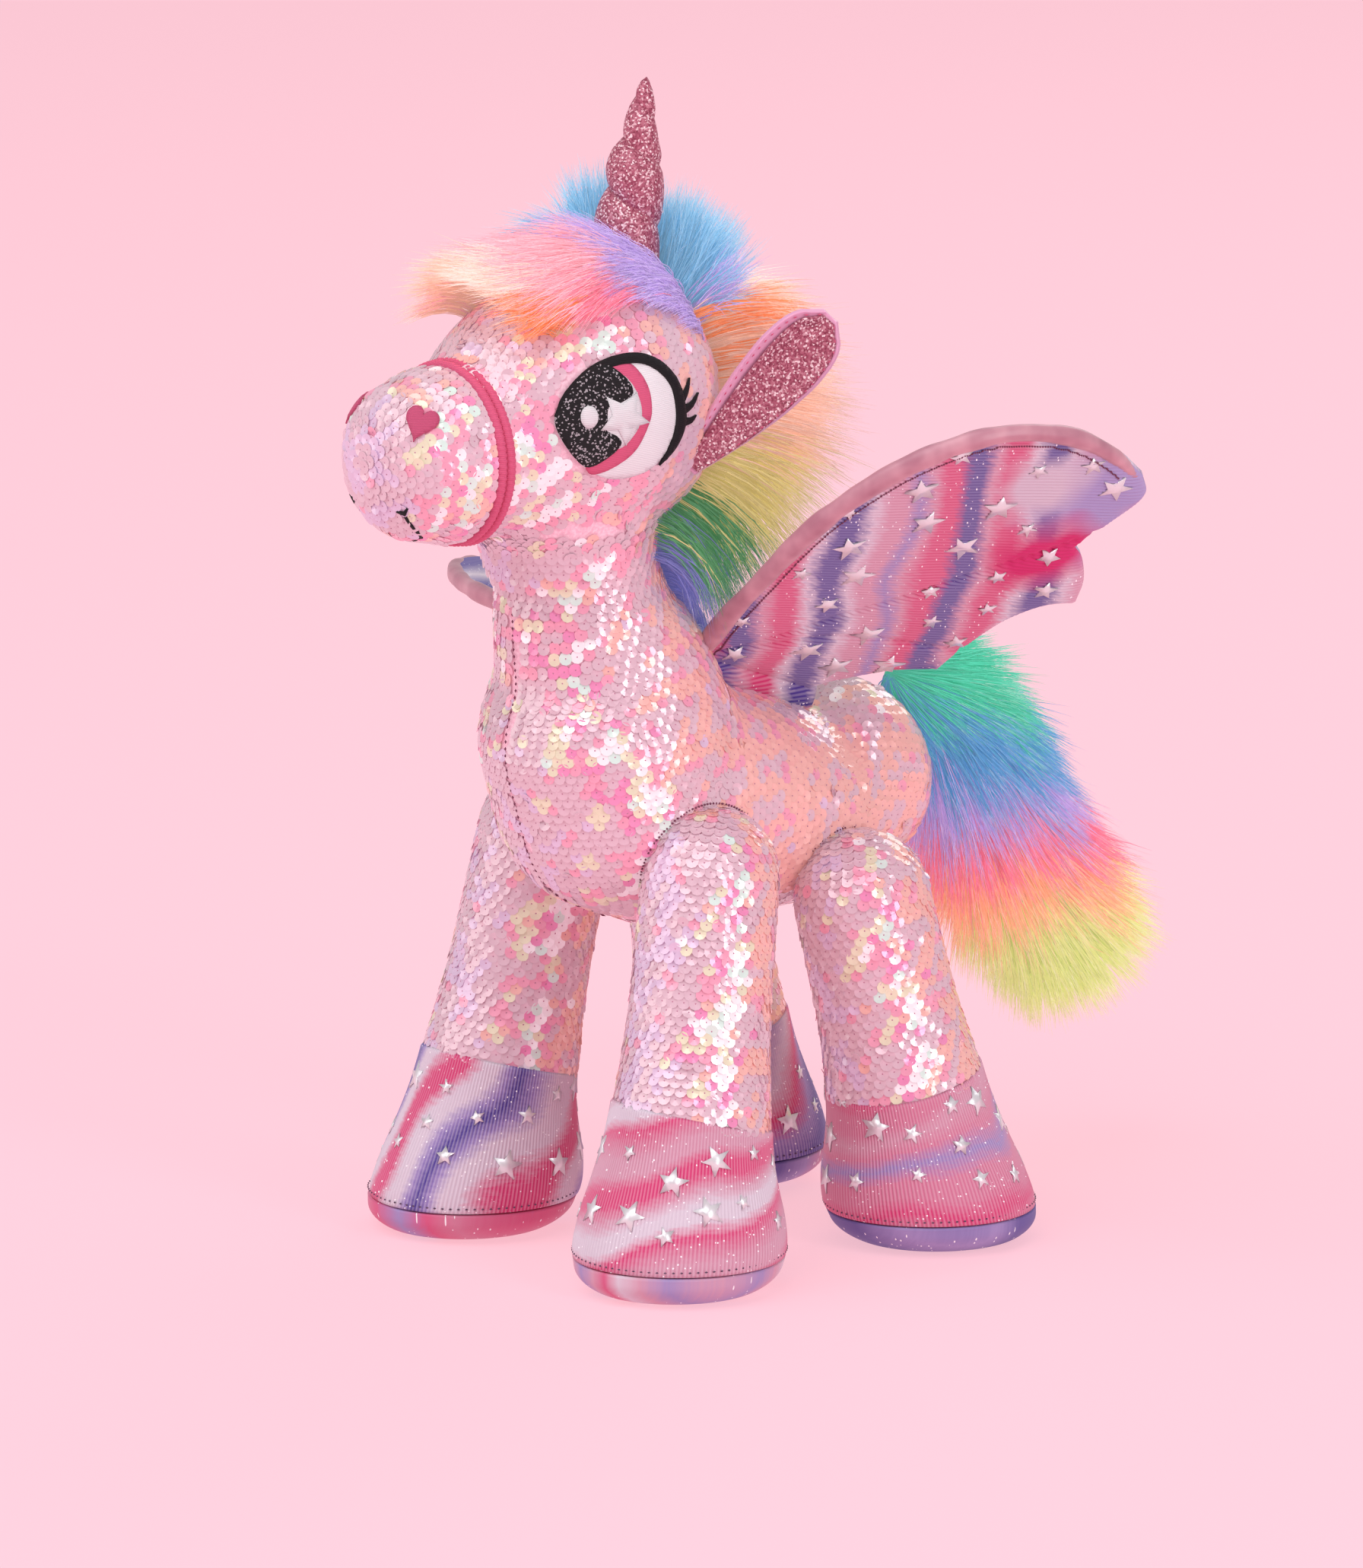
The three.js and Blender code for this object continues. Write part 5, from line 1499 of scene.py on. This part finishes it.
def crown():
    """Upright tufts on both sides of the horn and behind it."""
    roots, normals = scatter(head_shape, (-34, -44, 400), (34, -8, 400), 4600,
                             lambda p: p[2] > 346 and (p[1] > -27 or p[0] < -10), (0, 0, -1))
    x, y = roots[:, 0], roots[:, 1]
    zero = np.zeros(len(x))
    first = normals * 0.8 + np.array([0, 0.15, 0.55])
    last = np.stack([x * 0.014, 0.25 + (y + 25) * 0.016, zero + 0.6], 1)
    last[:, 2] -= 0.9 * smoothstep(16, 32, np.abs(x))
    length = 39 - 11 * smoothstep(12, 32, np.abs(x))
    return grow("crown", roots, first, last, length, CROWN, clump=0.5, wild=0.2)


def mane():
    """The mane down the back of the head, which swings with it, and the last of it down the neck."""
    upper, normals = scatter(head_shape, (-30, 0, 262), (30, 0, 352), 8000, lambda p: p[1] > -46, (0, -1, 0))
    z = upper[:, 2]
    zero = np.zeros(len(z))
    down = smoothstep(330, 262, z)
    first = normals * 0.8 + np.stack([zero, zero + 0.6, 0.1 - 0.3 * down], 1)
    last = np.stack([zero, 0.95 - 0.75 * down, -0.25 - 0.7 * down], 1)
    length = np.interp(z, [262, 285, 310, 352], [46, 58, 68, 56])
    head_part = grow("mane_upper", upper, first, last, length, MANE, clump=0.5, wild=0.13)
    lower, normals = scatter(torso_shape, (-17, 0, 232), (17, 0, 264), 3000, lambda p: p[1] > -44, (0, -1, 0))
    z = lower[:, 2]
    first = normals * 0.7 + np.array([0, 0.5, -0.3])
    last = np.tile([0.0, 0.12, -1.0], (len(z), 1))
    neck_part = grow("mane_lower", lower, first, last, np.interp(z, [232, 264], [14, 34]), NECK_MANE, clump=0.4)
    return head_part, neck_part


TAIL_LINE = [(92, 196), (106, 188), (120, 170), (132, 148), (146, 124), (164, 100)]
TAIL = Tube(TAIL_LINE, [4, 11, 15, 16, 17, 14], [4, 9, 13, 15, 17, 14], (4, 12))


def tail():
    """A plume: long pile all round a soft core, its colours changing in bands from the root to the end."""
    ring = TAIL.rings(90, 60)
    count = 17000
    i, j = rng.integers(0, len(ring) - 1, count), rng.integers(0, 60, count)
    f = rng.random((count, 1))
    roots = ring[i, j] * (1 - f) + ring[i + 1, j] * f
    axis = unit(ring.mean(1)[np.minimum(i + 3, len(ring) - 1)] - ring.mean(1)[np.maximum(i - 3, 0)])
    outward = unit(roots - ring.mean(1)[i])
    share = (i + f[:, 0]) / (len(ring) - 1)
    first = outward * 0.85 + axis * 0.7
    last = axis * 0.8 + outward * (0.42 + 0.1 * smoothstep(0.5, 0.9, share))[:, None] + np.array([0, 0.04, -0.12])
    length = np.interp(share, [0, 0.1, 0.5, 1], [32, 42, 40, 36])
    core = TAIL.mesh("tail_backing", material("tail_cloth", (0.72, 0.5, 0.62), 0.8), inset=0.5)
    return [core, *grow("tail", roots, first, last, length, TAIL_COLOURS, clump=0.62, wild=0.14)]


pieces["head"] += forelock() + crown()
mane_head, mane_neck = mane()
pieces["head"] += mane_head
pieces["torso"] += mane_neck
pieces["tail"] = tail()
pieces["tail_tab"] = [Tube([(94, 192), (100, 190), (108, 186)], [6.5, 7, 6], [6.5, 7, 6], (5, 4)).mesh("tail_root_cloth", BACKING)]

# ---------- riding on the bodies ----------
for body, objects in pieces.items():
    for o in objects:
        if o is torso:
            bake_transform(o)
        else:
            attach(o, body)
for o in neck_pieces:
    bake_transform(o)
for body, (o, top, foot) in wing_roots.items():
    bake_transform(o)

STANDS = {
    torso: ["torso_side_left", "torso_side_right", "torso_stuffing", "neck_plug"],
    head: ["head_side_left", "head_side_right", "head_stuffing"],
    muzzle: ["muzzle_skin", "muzzle_stuffing"],
}
for o, nodes in STANDS.items():
    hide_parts(*nodes)


def stands_for(piece, *nodes):
    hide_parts(*nodes)


stands_for("noseband_front_cord", "noseband")
for s in ("left", "right"):
    stands_for("eye_white_" + s, "eye_" + s)
    stands_for("nostril_stitch_" + s, "nostril_" + s)
    stands_for("ear_cloth_" + s, "ear_back_" + s)
    stands_for("ear_lining_glitter_" + s, "ear_lining_" + s)
    stands_for("wing_cloth_" + s, "wing_print_" + s, "wing_batting_" + s, "wing_satin_" + s)
    stands_for("wing_roll_" + s, "wing_edge_" + s)
stands_for("mouth_line", "mouth_stitching")
stands_for("horn_glitter", "horn_skin", "horn_stuffing")
stands_for("horn_wound_thread", "horn_thread")
stands_for("forelock_peach", "forelock_fur")
stands_for("mane_upper_peach", "mane_upper_fur")
stands_for("mane_lower_violet", "mane_lower_fur")
stands_for("tail_lilac", "tail_fur")
stands_for("tail_root_cloth", "tail_tab")
for corner in HIPS:
    stands_for("hoof_print_" + corner, "hoof_" + corner)
    stands_for("sole_print_" + corner, "sole_" + corner)
    stands_for("leg_cloth_" + corner, "leg_skin_" + corner, "leg_stuffing_" + corner)


# ---------- floor, light and camera ----------
PAPER = (1.0, 0.61, 0.695)  # the pale pink of the floor and of what lies beyond it


def floor():
    """A wide flat floor of pale pink paper, plain from every side."""
    reach = 40.0
    corners = np.array([[-reach, -reach, 0], [reach, -reach, 0], [reach, reach, 0], [-reach, reach, 0]]) * 1000
    mat = material("paper", (0.30, 0.17, 0.20), 0.95, Specular_IOR_Level=0.0,
                   Emission_Color=(*PAPER, 1), Emission_Strength=0.77)
    g = Graph(mat)
    grain = g.node("TexNoise", Scale=900.0, Detail=3.0)
    g.link(g.node("TexCoord").outputs["Object"], grain.inputs["Vector"])
    g.bump(grain.outputs["Fac"], 0.05, 0.0003)
    build("paper_floor", corners, np.array([[0, 1, 2, 3]]), mat)


def surroundings():
    """Even soft light from all round. The camera sees the floor's own pink beyond its edge."""
    world = bpy.data.worlds.new("studio")
    bpy.context.scene.world = world
    world.use_nodes = True
    nodes, links = world.node_tree.nodes, world.node_tree.links
    light = nodes["Background"]
    light.inputs[0].default_value, light.inputs[1].default_value = (1.0, 0.90, 0.93, 1), 0.46
    seen = nodes.new("ShaderNodeBackground")
    seen.inputs[0].default_value = (*PAPER, 1)
    pick, ray = nodes.new("ShaderNodeMixShader"), nodes.new("ShaderNodeLightPath")
    links.new(ray.outputs["Is Camera Ray"], pick.inputs[0])
    links.new(light.outputs[0], pick.inputs[1])
    links.new(seen.outputs[0], pick.inputs[2])
    links.new(pick.outputs[0], nodes["World Output"].inputs[0])


def lamp(name, azimuth, elevation, distance, size, power, color=(1, 1, 1)):
    """A soft panel aimed at the toy. azimuth is degrees to the right of the camera."""
    a, e = math.radians(51 + azimuth), math.radians(elevation)
    out = Vector((math.sin(a) * math.cos(e), -math.cos(a) * math.cos(e), math.sin(e)))
    data = bpy.data.lights.new(name, "AREA")
    data.shape, data.size, data.size_y, data.energy, data.color = "RECTANGLE", *size, power, color
    obj = bpy.data.objects.new(name, data)
    bpy.context.scene.collection.objects.link(obj)
    obj.location = out * distance + Vector((0, 0, 0.2))
    obj.rotation_euler = out.to_track_quat("Z", "Y").to_euler()


def camera():
    azimuth, elevation, distance = math.radians(51), math.radians(12.3), 5.5
    target = Vector(place((0, 0, 190)))
    back = Vector((math.sin(azimuth) * math.cos(elevation), -math.cos(azimuth) * math.cos(elevation), math.sin(elevation)))
    data = bpy.data.cameras.new("camera")
    obj = bpy.data.objects.new("camera", data)
    bpy.context.scene.collection.objects.link(obj)
    obj.location = target + back * distance
    obj.rotation_euler = back.to_track_quat("Z", "Y").to_euler()
    data.sensor_fit, data.sensor_width = "HORIZONTAL", 36
    data.lens = 36 * 3.58 * distance * 1000 / 1792
    data.shift_x, data.shift_y = -29.5 / 1792, -75.7 / 1792
    bpy.context.scene.camera = obj


floor()
lamp("strip", 42, 14, 2.2, (0.5, 2.2), 21)
lamp("top", -35, 58, 3.0, (2.6, 2.6), 50)
lamp("side", -80, 20, 2.6, (1.6, 2.2), 15)
lamp("rim", 150, 35, 2.6, (1.2, 1.6), 14)
surroundings()
camera()
bpy.context.scene.view_settings.view_transform = "Standard"
